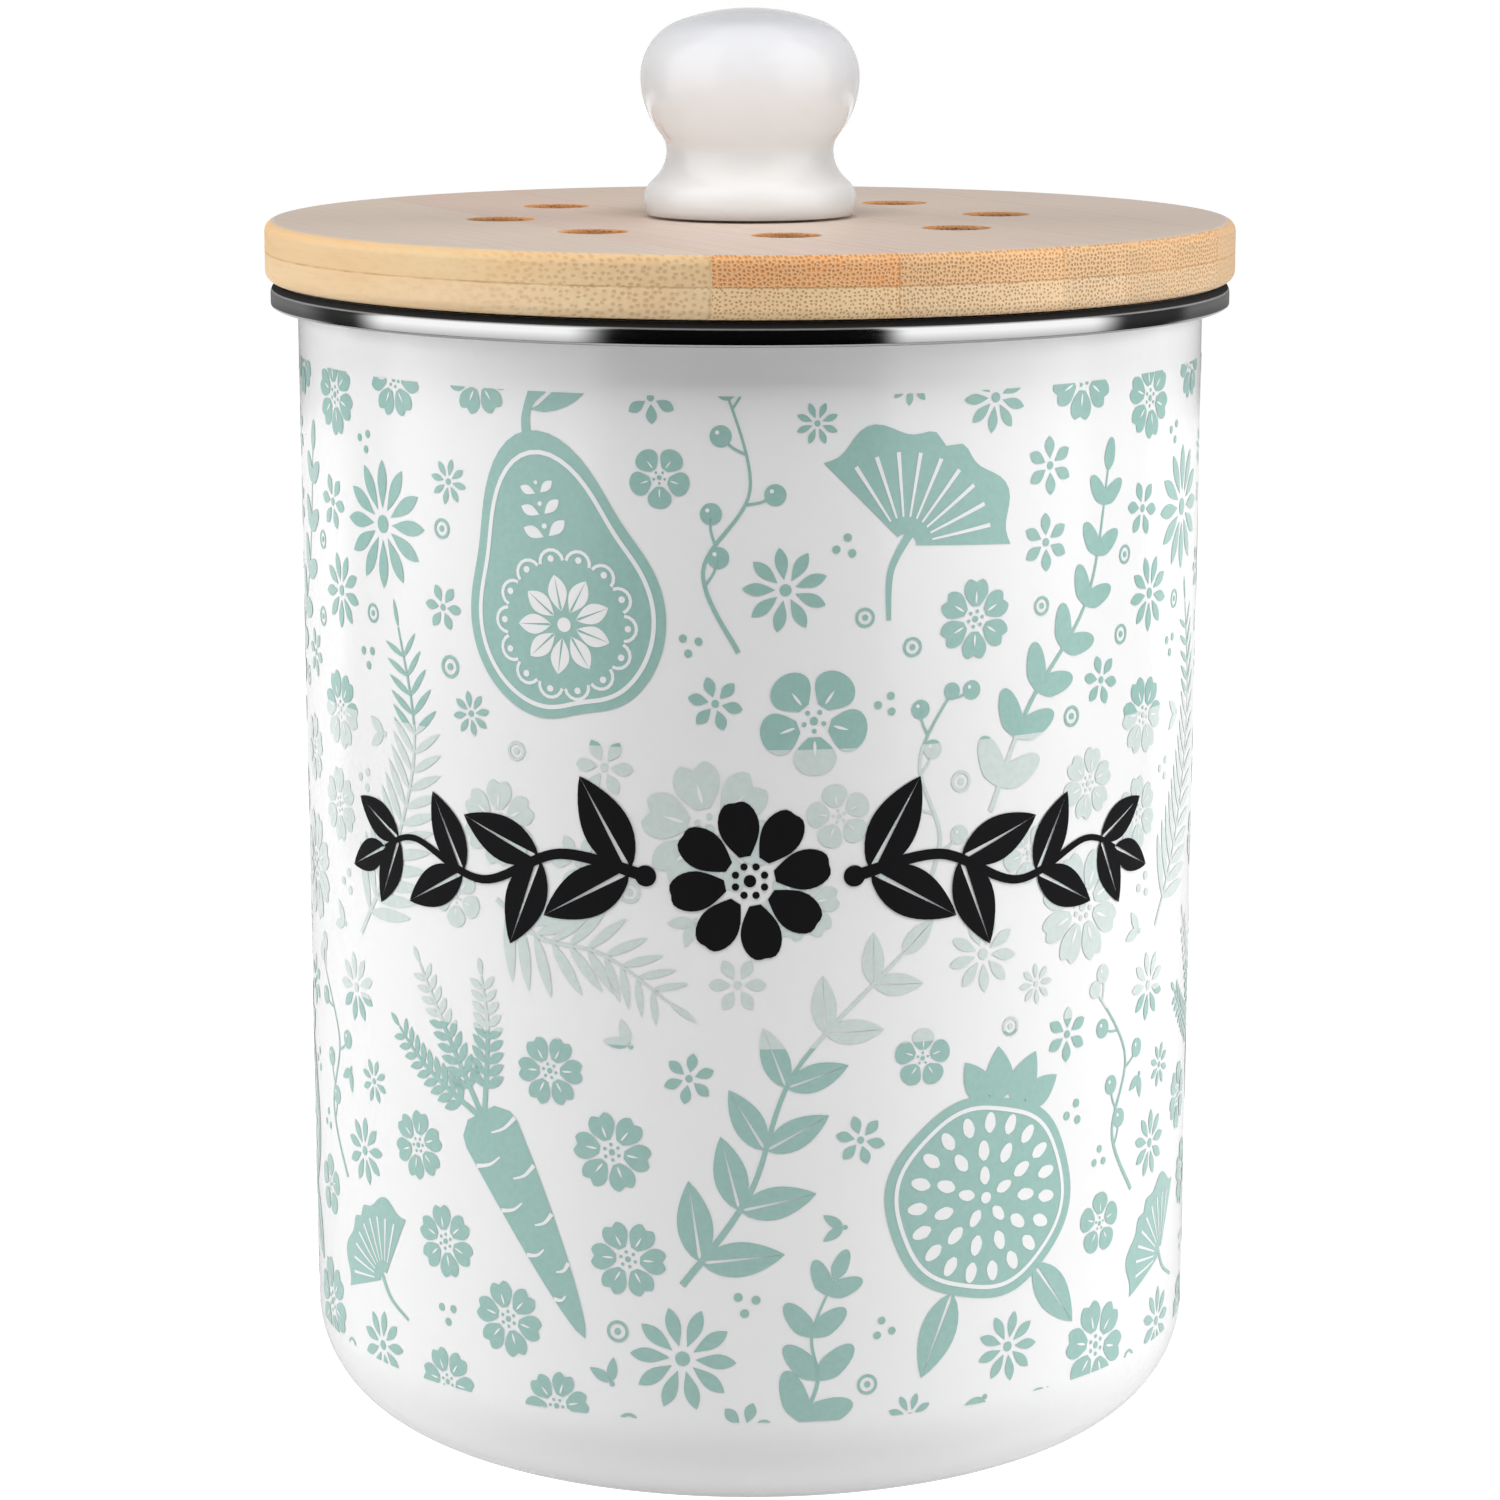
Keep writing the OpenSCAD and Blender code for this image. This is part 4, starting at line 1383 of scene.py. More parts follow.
class Herbal:
    """Draws fruit, leaves and flowers in millimetres, each round its own origin."""

    seam: float = 0.8
    stem_tip: float = 0.4

    def __init__(self, finish: Material) -> None:
        """Builds the node trees that repeat leaves and petals."""
        self.finish = finish
        self.stems, self.rings = leafy_stem_tree(), ring_tree()

    def ring(self, shape: Flat, copies: int, turn: float = 0.0) -> Flat:
        """Returns copies of a flat shape round the origin, turned by an angle in degrees."""
        values = {"Copies": copies, "Turn": math.radians(turn), "Finish": self.finish}
        return Flat.of(self.rings.run(shape.to_object("shape"), "ring", values))

    def stem(
        self, points: Sequence[Point], leaf: Flat, spacing: float, lean: float, width: float,
        taper: float = 0.45, skip: int = 4, tail: int = 4,
    ) -> Flat:
        """Draws a stem with pairs of leaves along it and one at its tip.

        Args:
            points: Where it runs.
            leaf: One leaf, along +Y.
            spacing: Distance between leaves.
            lean: Angle in degrees between a leaf and the stem.
            width: Its width at the root.
            taper: How much smaller the last leaf is than the first, as a share.
            skip: Path points left bare at the root.
            tail: Path points left bare at the tip.

        Returns:
            The flat shape.
        """
        path = curve(points)
        run = path[skip:len(path) - tail]
        line = bpy.data.meshes.new("stem")
        stretches = [(i, i + 1) for i in range(len(run) - 1)]
        line.from_pydata([(p.x * MM, p.y * MM, 0) for p in run], stretches, [])
        model = leaf.to_object("leaf")
        out = Flat.of(self.stems.run(new_object("stem", line), "leaves", {
            "Leaf": model, "Spacing": spacing * MM, "Lean": math.radians(lean), "Taper": taper,
            "Finish": self.finish,
        }))
        bpy.data.objects.remove(model)
        end, way = path[-1], path[-1] - path[-3]
        out.ribbon(path, width, width * self.stem_tip)
        return out.copy_of(leaf, end.x, end.y, math.degrees(math.atan2(way.y, way.x)) - 90, 1 - taper)

    def blossom(self, r: float, petals: int, notch: float) -> Motif:
        """Draws a flower of round or notched petals with an open eye and a ring of anthers.

        Args:
            r: Radius.
            petals: How many petals.
            notch: Depth of the notch in a petal's end, as a share of its length.

        Returns:
            The flower.
        """
        eye, widest, spread, anthers_at, anther_r, pistil_r = 0.3, 0.66, 0.94, 0.62, 0.045, 0.075
        slit_l, slit_w, slit_gap = 0.3, 0.055, 0.06
        petal = Flat().petal(r * eye, r, FULL_TURN * r * widest / petals * spread, notch)
        ink = self.ring(petal, petals, 90 / petals)
        for i in range(petals):
            anther = polar(r * eye * anthers_at, FULL_TURN * (i + 0.5) / petals)
            ink.disc(*anther, r * anther_r, sides=10)
        ink.disc(0, 0, r * pistil_r, sides=14)
        slit = Flat().leaf(r * slit_l, r * slit_w, start=r * (eye + slit_gap))
        return Motif(ink, self.ring(slit, petals, 90 / petals))

    def daisy(self, r: float, petals: int, width: float = 0.3) -> Motif:
        """Returns a flower of narrow leaf-shaped petals round a small disc."""
        petal = Flat().leaf(r * 0.76, r * width, belly=1.25, start=r * 0.24)
        return Motif(self.ring(petal, petals).disc(0, 0, r * 0.14, sides=16))

    def pear(self) -> Motif:
        """Draws a folk-style pear, about 60 mm tall.

        Returns:
            The pear.
        """
        body_r, neck, neck_w, dimple, dimple_w = 19, 14.5, 0.52, 1.8, 0.35

        def outline(turn: float) -> float:
            """Gives the pear a round body, a neck above and a dimple below.

            Args:
                turn: Angle round its middle.

            Returns:
                The radius there.
            """
            off = math.atan2(math.sin(turn - math.pi / 2), math.cos(turn - math.pi / 2))
            low = math.pi - abs(off)
            grown = body_r + neck * math.exp(-((off / neck_w) ** 2))
            return grown - dimple * math.exp(-((low / dimple_w) ** 2))

        heart, seam_share, bow_r, bow_z, bow_w = (0, -1.2), 0.885, 2.25, 11.2, 0.6
        out = Motif(Flat().blob(0, 0, outline, sides=96))
        out.bare.ribbon(round_path(outline, seam_share, 96), self.seam, self.seam)
        out.bare.copy_of(self.ring(Flat().leaf(6.6, 3.6, 1.1, 0.5, start=2.4), 9), *heart).disc(*heart, 1.3)
        bow = [Vector((bow_r * math.cos(a), bow_z + bow_r * math.sin(a))) for a in steps_of(0, math.pi, 9)]
        scale = Flat().ribbon(bow, bow_w, bow_w).disc(0, 11.9, 0.62, sides=10)
        out.bare.copy_of(self.ring(scale, 14), *heart)
        drop = Flat().leaf(3.4, 1.7, 1.2)
        for level, size in ((14.6, 1), (18.6, 0.9), (22.4, 0.75)):
            for side in (-1, 1):
                out.bare.copy_of(drop, side * 0.5, level, -side * 58, size * 1.25)
            out.bare.disc(0, level + 1.9, 0.5 * size, sides=10)
        out.ink.ribbon(curve([(0, 32), (0.6, 36), (3.2, 41)]), 2, 1.3)
        out.ink.copy_of(Flat().leaf(20, 8.6, 0.85, 0.9), 1.6, 37, -62)
        return out

    def pomegranate(self) -> Motif:
        """Draws a folk-style pomegranate with a crown, about 50 mm tall.

        Returns:
            The pomegranate.
        """
        def outline(turn: float) -> float:
            """Returns the fruit's radius: a round with faint ribs."""
            return 20 + 0.7 * math.cos(2 * turn) + 0.35 * math.cos(6 * turn)

        out = Motif(Flat().blob(0, 0, outline, sides=84))
        out.bare.ribbon(round_path(outline, 0.89, 84), self.seam, self.seam)
        for radius, copies, size in ((2.6, 5, 0.85), (7.2, 11, 0.95), (12.4, 19, 0.95)):
            seed = Flat().petal(0, 4.1 * size, 2.5 * size, 0, 0.6)
            out.bare.copy_of(self.ring(Flat().copy_of(seed, 0, radius), copies, 7 * radius))
        out.bare.disc(0, 0, 1.1)
        for turn, size in ((-46, 0.85), (-16, 1), (16, 1), (46, 0.85)):
            out.ink.copy_of(Flat().leaf(10.5 * size, 6.4 * size, 0.75), turn * 0.1, 18.2, -turn)
        for turn in (172, 232):
            out.ink.copy_of(Flat().leaf(17, 7.4, 0.85, 0.8), *polar(18.6, math.radians(turn + 90)), turn)
        return out

    def carrot(self) -> Motif:
        """Draws a carrot with feathery leaves, about 85 mm long and pointing down.

        Returns:
            The carrot.
        """
        widest, blunt, bend, bends, length, shoulder, crown = 7.6, 0.62, 1.4, 2.2, 48, 0.9, 0.75

        def girth(t: float) -> tuple[float, float, float]:
            """Returns the root's half width, sideways bow and height, from its tip at 0 to its top at 1."""
            return widest * t ** blunt, bend * math.sin(bends * t), length * t - length

        out, rows = Motif(), []
        for t in steps_of(0, 1, 22):
            half, bow, y = girth(t)
            half *= 1 if t < shoulder else math.sqrt(max(0, 1 - ((t - shoulder) / 0.1) ** 2 * crown))
            rows.append([(half * k / 3 + bow, y) for k in range(-3, 4)])
        out.ink.grid(rows)
        for i, t in enumerate(steps_of(0.2, 0.92, 8)):
            half, bow, y = girth(t)
            half *= 1 if i % 2 else -1
            marks = [(half * reach + bow, y - drop) for reach, drop in ((0.98, 0), (0.5, 0.9), (0.05, 0.5))]
            out.bare.ribbon(curve(marks, 5), 0.9, 0.35)
        frill = Flat().leaf(5.2, 1.9, 1.1)
        for turn, reach in ((26, 26), (0, 32), (-28, 27)):
            lean = math.radians(90 + turn)
            end = (1.2 + reach * math.cos(lean) - turn * 0.05, reach * math.sin(lean) - 0.5)
            middle = (1.2 + 0.5 * reach * math.cos(lean) - turn * 0.12, 0.55 * reach * math.sin(lean))
            out.ink.copy_of(self.stem([(1.2, -1.5), middle, end], frill, 2.3, 52, 1.3, 0.3, skip=5))
        return out

    def fan_leaf(self) -> Motif:
        """Draws a fan-shaped leaf with bare slits, about 34 mm wide.

        Returns:
            The leaf.
        """
        start, spread, columns, flat = 22, 136, 36, 0.96
        foot, reach, ripple, ripples, cleft, cleft_w = 2, 21, 1.3, 9, 3.2, 1.6
        out, rows = Motif(), []
        for share in steps_of(0, 1, 9):
            row = []
            for k in range(columns + 1):
                turn = math.radians(start + spread * k / columns)
                dent = cleft * math.exp(-((k - columns / 2) / cleft_w) ** 2)
                r = foot + (reach + ripple * math.sin(turn * ripples) - dent - foot) * share
                row.append((-r * math.cos(turn), r * math.sin(turn) * flat))
            rows.append(row)
        out.ink.grid(rows)
        for turn in (math.radians(degrees) for degrees in range(-56, 57, 14)):
            slit = [(t * 18 * math.sin(turn), t * 17.4 * math.cos(turn)) for t in steps_of(0.28, 0.92, 8)]
            out.bare.ribbon([Vector(point) for point in slit], 0.35, 0.75)
        out.ink.ribbon(curve([(0, 2.6), (-0.6, -5), (2.6, -13)]), 1.5, 0.8)
        return out

    def berries(self, points: Sequence[Point], spacing: float, r: float) -> Motif:
        """Draws a thin twig with a berry on a stalk every so often, each with a bare glint.

        Args:
            points: Where the twig runs.
            spacing: Distance between berries along it.
            r: Radius of a berry.

        Returns:
            The twig.
        """
        path = curve(points)
        out = Motif(Flat().ribbon(path, 0.85, 0.4))
        travelled, side = 0, 1
        for a, b in zip(path[4:], path[5:]):
            travelled += (b - a).length
            if travelled < spacing:
                continue
            travelled, side = 0, -side
            along = (b - a).normalized()
            away = Vector((-along.y, along.x)) * side
            stalk = [b, b + away * r * 1.1 + along * r * 0.9, b + away * r * 1.9 + along * r * 2.1]
            x, y = stalk[2]
            out.ink.ribbon(curve(stalk, 5), 0.5, 0.4).disc(x, y, r, sides=18)
            out.bare.disc(x - r * 0.32, y + r * 0.34, r * 0.2, sides=10)
        out.ink.disc(*path[-1], r * 0.9, sides=18)
        return out

    def fillers(self) -> list[tuple[float, Motif]]:
        """Draws the small shapes that fill gaps.

        Returns:
            The shapes, each with its radius, the largest first.
        """
        dots, pair = Motif(), Motif()
        for turn in (90, 210, 330):
            dots.ink.disc(*polar(1.7, math.radians(turn)), 0.75, sides=14)
        for turn in (-34, 34):
            pair.ink.copy_of(Flat().leaf(4.6, 2, 0.8), 0, -2.4, turn)
        pair.ink.disc(0, -2.9, 0.5, sides=10)
        ringed = Motif(Flat().disc(0, 0, 1.9, 1.35, 22).disc(0, 0, 0.6, sides=12))
        return [
            (8, self.blossom(7.4, 6, 0.2)), (7.4, self.daisy(6.8, 9)),
            (6, self.blossom(5.4, 5, 0)), (5.2, self.daisy(4.7, 6, 0.42)), (4.4, self.daisy(3.9, 8)),
            (3.2, pair), (2.8, dots), (2.3, ringed),
        ]


@dataclass
class Print:
    """Botanical print round the can: one tile repeated, and a dark garland across the front."""

    can: Can
    repeats: int = 3
    low: float = 20.0
    high: float = 202.0
    ink_level: float = 0.06
    bare_level: float = 0.1
    dark_level: float = 0.15
    seed: int = 11
    tries: int = 5200
    margin: float = 1.7
    spill: float = 2.0
    sizes: Span = (0.9, 1.12)
    garland_z: float = 118.0
    garland: tuple[Point, ...] = ((18.2, 0.5), (34, 3.4), (50, -2.8), (66, 2.4), (75, -0.5))
    joined: float = 2e-6
    ink: PrintInk = PrintInk()
    bare: Enamel = Enamel("bare_enamel")
    dark: PrintInk = PrintInk(
        "dark_ink", (0.006, 0.006, 0.007), (0.006, 0.006, 0.007), roughness=0.55, coat=0.0, shine=0.1
    )

    @property
    def tile(self) -> float:
        """Width of one tile in millimetres."""
        return FULL_TURN * (self.can.foot_r + self.can.wall_r) / 2 / self.repeats / MM

    def _layout(self, herbal: Herbal) -> Motif:
        """Puts a tile's large shapes in place.

        Args:
            herbal: What draws them.

        Returns:
            The tile.
        """
        out = Motif()
        for motif, *place in (
            (herbal.pear(), -33, 163, 12, 0.98),
            (herbal.pomegranate(), 44, 58, -14, 0.96),
            (herbal.carrot(), -52, 72, 30, 0.92),
            (herbal.fan_leaf(), 27, 176, -24, 1),
            (herbal.fan_leaf(), -78, 36, 40, 0.72),
            (herbal.blossom(12.6, 6, 0.22), -7, 127),
            (herbal.blossom(11, 8, 0.16), 66, 108, 10),
            (herbal.daisy(11.5, 12, 0.24), -74, 176),
            (herbal.daisy(9.6, 10, 0.28), -12, 31.5, 15),
            (herbal.blossom(9.6, 5, 0), 11, 146, 20),
            (herbal.blossom(9, 6, 0.2), 72, 25),
        ):
            out.add(motif, *place)
        laurel, willow = Flat().leaf(15, 6.4, 0.85, 0.7), Flat().leaf(13, 2.4, 0.9)
        oval = Flat().petal(0, 9.6, 4.9, 0, 0.62)
        for leaf, points, *look in (
            (laurel, [(-12, 45), (0, 62), (8, 84), (27, 104)], 10.5, 46, 1.3),
            (oval, [(44, 128), (52, 146), (66, 164), (71, 186)], 8.2, 44, 1, 0.4),
            (willow, [(-84, 100), (-72, 118), (-66, 138), (-70, 158)], 3.3, 50, 1, 0.6),
            (oval, [(8, 18), (12, 27), (11, 36), (15, 46)], 7, 46, 0.9, 0.4),
            (willow, [(-47, 112), (-38, 106), (-26, 104), (-14, 96)], 3.4, 48, 0.9, 0.55),
        ):
            out.ink.copy_of(herbal.stem(points, leaf, *look))
        for points, spacing, r in (
            ([(-2, 158), (-8, 172), (0, 186), (-4, 203)], 7.4, 1.9),
            ([(83, 52), (76, 64), (80, 78), (70, 92)], 7, 1.8),
            ([(30, 112), (34, 124), (30, 138), (36, 150)], 6.6, 1.7),
        ):
            out.add(herbal.berries(points, spacing, r))
        return out

    def _fill(self, out: Motif, shapes: list[tuple[float, Motif]]) -> None:
        """Throws small shapes into a tile's gaps, the largest first.

        Args:
            out: The tile.
            shapes: The shapes with their radii.
        """
        draw, wide = random.Random(self.seed), self.tile
        taken = [(x + shift * wide, y) for x, y in out.ink.points for shift in (-1, 0, 1)]
        near = KDTree(len(taken))
        for i, (x, y) in enumerate(taken):
            near.insert((x, y, 0), i)
        near.balance()
        placed: list[tuple[float, float, float]] = []
        for number in range(self.tries):
            r, shape = shapes[number * len(shapes) // self.tries]
            x = draw.uniform(-wide / 2, wide / 2)
            y = draw.uniform(self.low - self.spill, self.high + self.spill)
            turn, size = draw.uniform(0, 360), draw.uniform(*self.sizes)
            room = r * size + self.margin
            apart = (math.hypot((x - a + wide / 2) % wide - wide / 2, y - b) - c for a, b, c in placed)
            if near.find((x, y, 0))[2] < room or any(gap < room for gap in apart):
                continue
            placed.append((x, y, r * size))
            out.add(shape, x, y, turn, size)
        LOG.info("print: %d small shapes in a tile", len(placed))

    def _garland(self, herbal: Herbal) -> Flat:
        """Draws a garland of two leafy stems, with a blossom between them.

        Args:
            herbal: What draws it.

        Returns:
            The garland.
        """
        out, leaf = Flat(), Flat().leaf(18.6, 8.8, 0.85, 1, 14)
        for side in (-1, 1):
            points = [(side * x, self.garland_z + y) for x, y in self.garland]
            out.copy_of(herbal.stem(points, leaf, 15.4, 45, 2.2, 0.34, skip=3, tail=7))
            out.disc(*points[0], 1.9)
        return out.copy_of(herbal.blossom(14.6, 8, 0.06).ink, 0, self.garland_z)

    def _trim(self, piece: Object) -> None:
        """Cuts a flat piece off below and above the print, and drops doubled points.

        Args:
            piece: The piece.
        """
        shape = bmesh.new()
        shape.from_mesh(piece.data)
        bmesh.ops.remove_doubles(shape, verts=shape.verts, dist=self.joined)
        for height, way in ((self.low, -1), (self.high, 1)):
            everything = [*shape.verts, *shape.edges, *shape.faces]
            bmesh.ops.bisect_plane(shape, geom=everything, plane_co=(0, height * MM, 0),
                                   plane_no=(0, way, 0), clear_outer=True)
        bmesh.ops.dissolve_degenerate(shape, edges=shape.edges, dist=self.joined / 2)
        shape.normal_update()
        bmesh.ops.reverse_faces(shape, faces=[face for face in shape.faces if face.normal.z < 0])
        shape.to_mesh(piece.data)
        shape.free()

    def _wrapped(
        self, tree: Tree, shape: Flat, name: str, level: float, finish: Paint, repeats: int
    ) -> Object:
        """Cuts a flat shape to the print's height and bends it round the wall.

        Args:
            tree: The tree that bends it.
            shape: The flat shape.
            name: Name of the piece.
            level: Height above the wall in millimetres.
            finish: What it is printed in.
            repeats: Copies round the wall.

        Returns:
            The printed piece.
        """
        flat = shape.to_object(name, level)
        self._trim(flat)
        piece = tree.run(flat, name, {
            "Repeats": repeats, "Foot radius": self.can.foot_r, "Rim radius": self.can.wall_r,
            "Foot height": self.can.corner_r, "Rim height": self.can.wall_top, "Finish": finish.material(),
        })
        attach(piece, "can")
        LOG.info("%s: %d faces", name, len(piece.data.polygons))
        return piece

    def build(self) -> None:
        """Prints the green ink, the bare enamel on it and the dark garland."""
        herbal = Herbal(self.ink.material())
        tree, tile = wrap_tree(), self._layout(herbal)
        self._fill(tile, herbal.fillers())
        self._wrapped(tree, tile.ink, "print_ink", self.ink_level, self.ink, self.repeats)
        white = self._wrapped(tree, tile.bare, "print_bare", self.bare_level, self.bare, self.repeats)
        self._wrapped(tree, self._garland(herbal), "print_garland", self.dark_level, self.dark, 1)


# --- Lid ---

class Bore(NamedTuple):
    """A hole through a ply, as a half outline round its own axis from the ply's underside up."""

    x: float
    y: float
    outline: Profile
    sides: int = 64


@dataclass
class Ply:
    """One bamboo ply of the lid board, with its holes and one rounded edge."""

    name: str
    node: str
    slot: str
    low: float
    high: float
    round_low: float
    round_high: float
    bores: list[Bore]
    radius: float = 0.09
    sides: int = 288
    sharp: float = 30.0
    support: float = 0.0004
    top_limit: float = 0.92
    under_limit: float = 0.995
    edge_share: float = 0.9
    hole_share: float = 0.9999
    joined: float = 1e-9

    def build(self) -> None:
        """Puts the ply in place of its CAD node."""
        shape = bmesh.new()
        walls = [
            turn_profile(shape, bore.outline, bore.sides, (bore.x, bore.y))
            for bore in (Bore(0.0, 0.0, self._edge(), self.sides), *self.bores)
        ]
        for end in (0, -1):
            self._floor(shape, [wall[end] for wall in walls])
        piece = smooth_piece(self.name, shape, self.sharp, self._finish_of)
        for cut in Cut:
            piece.data.materials.append(Bamboo(cut).material())
        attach(piece, "lid")
        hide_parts(self.node)

    def _edge(self) -> Profile:
        """Returns the outline of the board's outer edge, with a support ring at both ends.

        Returns:
            The outline.
        """
        foot, head = [(self.radius, self.low)], [(self.radius, self.high)]
        if self.round_low:
            foot = arc(self.radius - self.round_low, self.low + self.round_low, self.round_low, -90, 0)
        if self.round_high:
            head = arc(self.radius - self.round_high, self.high - self.round_high, self.round_high, 0, 90)
        ends = [(self.radius - r - self.support, z)
                for r, z in ((self.round_low, self.low), (self.round_high, self.high))]
        return [ends[0], *foot, *head, ends[1]]

    def _floor(self, shape: Shape, rings: list[Ring]) -> None:
        """Closes the flat face between the outer ring and the rings of the bores.

        Args:
            shape: The mesh to add to.
            rings: The outer ring first, then one ring for each bore.
        """
        flat, edges, holes = [], [], []
        for ring in rings:
            edges += [(len(flat) + i, len(flat) + (i + 1) % len(ring)) for i in range(len(ring))]
            flat += ring
            middle = self._middle(ring)
            holes.append((middle, (ring[0].co.xy - middle).length * self.hole_share))
        found = delaunay_2d_cdt([v.co.xy for v in flat], edges, [], 0, self.joined)
        for face in found[2]:
            corners = [flat[found[3][i][0]] for i in face]
            centre = self._middle(corners)
            if all((centre - middle).length >= radius for middle, radius in holes[1:]):
                shape.faces.new(corners)

    @staticmethod
    def _middle(verts: Ring) -> Vector:
        """Returns the mean of some points, seen from above."""
        return sum((v.co.xy for v in verts), Vector((0.0, 0.0))) / len(verts)

    def _finish_of(self, face: bmesh.types.BMFace) -> int:
        """Picks the finish for a face.

        Args:
            face: The face.

        Returns:
            0 on a flat face, 1 on the outer edge, 2 inside a bore.
        """
        if face.normal.z > self.top_limit or face.normal.z < -self.under_limit:
            return 0
        return 1 if face.calc_center_median().xy.length > self.radius * self.edge_share else 2


@dataclass
class LidBoard:
    """Round board of two bamboo plies, with a circle of vent holes and a hole for the knob's screw."""

    bottom: float = 0.2153
    joint: float = LID_JOINT
    top: float = 0.2264
    edge_r: float = 0.002
    vents: int = 8
    vent_turn: float = 8.0
    vent_circle_r: float = 0.0465
    vent_r: float = 0.006
    ease: float = 0.0005
    support: float = 0.0003
    screw_r: float = 0.0023
    pocket_r: float = 0.0064
    pocket_depth: float = 0.004

    def _vents(self, low: float, high: float, low_ease: float, high_ease: float) -> list[Bore]:
        """Returns the vent holes of a ply.

        Args:
            low: The ply's lower face.
            high: The ply's upper face.
            low_ease: Radius that rounds a hole's lower edge, or 0.
            high_ease: Radius that rounds a hole's upper edge, or 0.

        Returns:
            The holes.
        """
        r = self.vent_r
        foot = arc(r + low_ease, low + low_ease, low_ease, 270, 180, 4) if low_ease else [(r, low)]
        head = arc(r + high_ease, high - high_ease, high_ease, 180, 90, 4) if high_ease else [(r, high)]
        outline = [(r + low_ease + self.support, low), *foot, *head, (r + high_ease + self.support, high)]
        turns = steps_of(self.vent_turn, self.vent_turn + 360, self.vents + 1)[:-1]
        return [Bore(*polar(self.vent_circle_r, math.radians(turn)), outline) for turn in turns]

    def build(self) -> None:
        """Builds both plies."""
        s, r, p = self.support, self.screw_r, self.pocket_r
        low, joint, top, roof = self.bottom, self.joint, self.top, self.bottom + self.pocket_depth
        upper_screw = Bore(0.0, 0.0, [(r + s, joint), (r, joint), (r, top), (r + s, top)])
        lower_screw = Bore(0.0, 0.0, [
            (p + s, low), (p, low), (p, roof), (r, roof), (r, joint), (r + s, joint),
        ])
        Ply("lid_upper_bamboo", "lid_top_ply", "bamboo_top", joint, top, 0.0, self.edge_r,
            [*self._vents(joint, top, 0.0, self.ease), upper_screw]).build()
        Ply("lid_lower_bamboo", "lid_bottom_ply", "bamboo_edge", low, joint, self.edge_r, 0.0,
            [*self._vents(low, joint, self.ease, 0.0), lower_screw]).build()


@dataclass
class Knob:
    """Turned ceramic knob: crown, bulb, neck and rounded foot, all in tangent arcs."""

    foot: float = KNOB_FOOT
    height: float = 0.0379
    bulb_r: float = 0.0203
    bulb_z: float = 0.0253
    side_r: float = 0.011
    under_r: float = 0.0168
    neck_r: float = 0.0155
    neck_z: float = 0.0118
    hollow_r: float = 0.007
    foot_r: float = 0.0198
    foot_round: float = 0.005
    hole_r: float = 0.00405
    hole_depth: float = 0.018
    longest: float = 0.003
    sides: int = 160
    steps: int = 14
    sharp: float = 40.0
    finish: Glaze = Glaze()

    def profile(self) -> Profile:
        """Returns the knob's half outline, from the top of its hole round to its crown.

        Returns:
            The outline.
        """
        crown_h = self.height - self.bulb_z
        side_x = self.bulb_r - self.side_r
        crown_r = (side_x ** 2 + crown_h ** 2 - self.side_r ** 2) / (2 * (crown_h - self.side_r))
        crown_turn = math.degrees(math.atan2(crown_r - crown_h, side_x))
        narrowing = self.bulb_r - self.neck_r
        rise = self.bulb_z - self.neck_z
        waist_r = (narrowing ** 2 + rise ** 2) / (2 * narrowing) - self.under_r
        under_x = self.bulb_r - self.under_r
        waist_x = self.neck_r + waist_r
        under_turn = math.degrees(math.atan2(rise, waist_x - under_x))
        foot_x = self.foot_r - self.foot_round
        hollow_x = self.neck_r + self.hollow_r
        foot_z = self.neck_z - math.sqrt((self.hollow_r + self.foot_round) ** 2 - (hollow_x - foot_x) ** 2)
        foot_turn = math.degrees(math.atan2(self.neck_z - foot_z, hollow_x - foot_x))
        sole_turn = -math.degrees(math.asin(foot_z / self.foot_round))
        points = [(0.0, self.hole_depth), (self.hole_r, self.hole_depth), (self.hole_r, 0.0)]
        for number, bend in enumerate((
            (foot_x, foot_z, self.foot_round, sole_turn, foot_turn),
            (hollow_x, self.neck_z, self.hollow_r, 180 + foot_turn, 180),
            (waist_x, self.neck_z, waist_r, 180, 180 - under_turn),
            (under_x, self.bulb_z, self.under_r, -under_turn, 0),
            (side_x, self.bulb_z, self.side_r, 0, crown_turn),
            (0.0, self.height - crown_r, crown_r, crown_turn, 90),
        )):
            points += arc(*bend, self.steps)[min(number, 1):]
        points[-1] = (0.0, self.height)
        return densify([(x, self.foot + z) for x, z in points], self.longest)

    def build(self) -> None:
        """Puts the knob in place of its CAD node."""
        piece = lathe("knob_glazed", self.profile(), self.sides, self.sharp)
        self.finish.on(piece)
        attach(piece, "lid")
        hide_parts("knob")


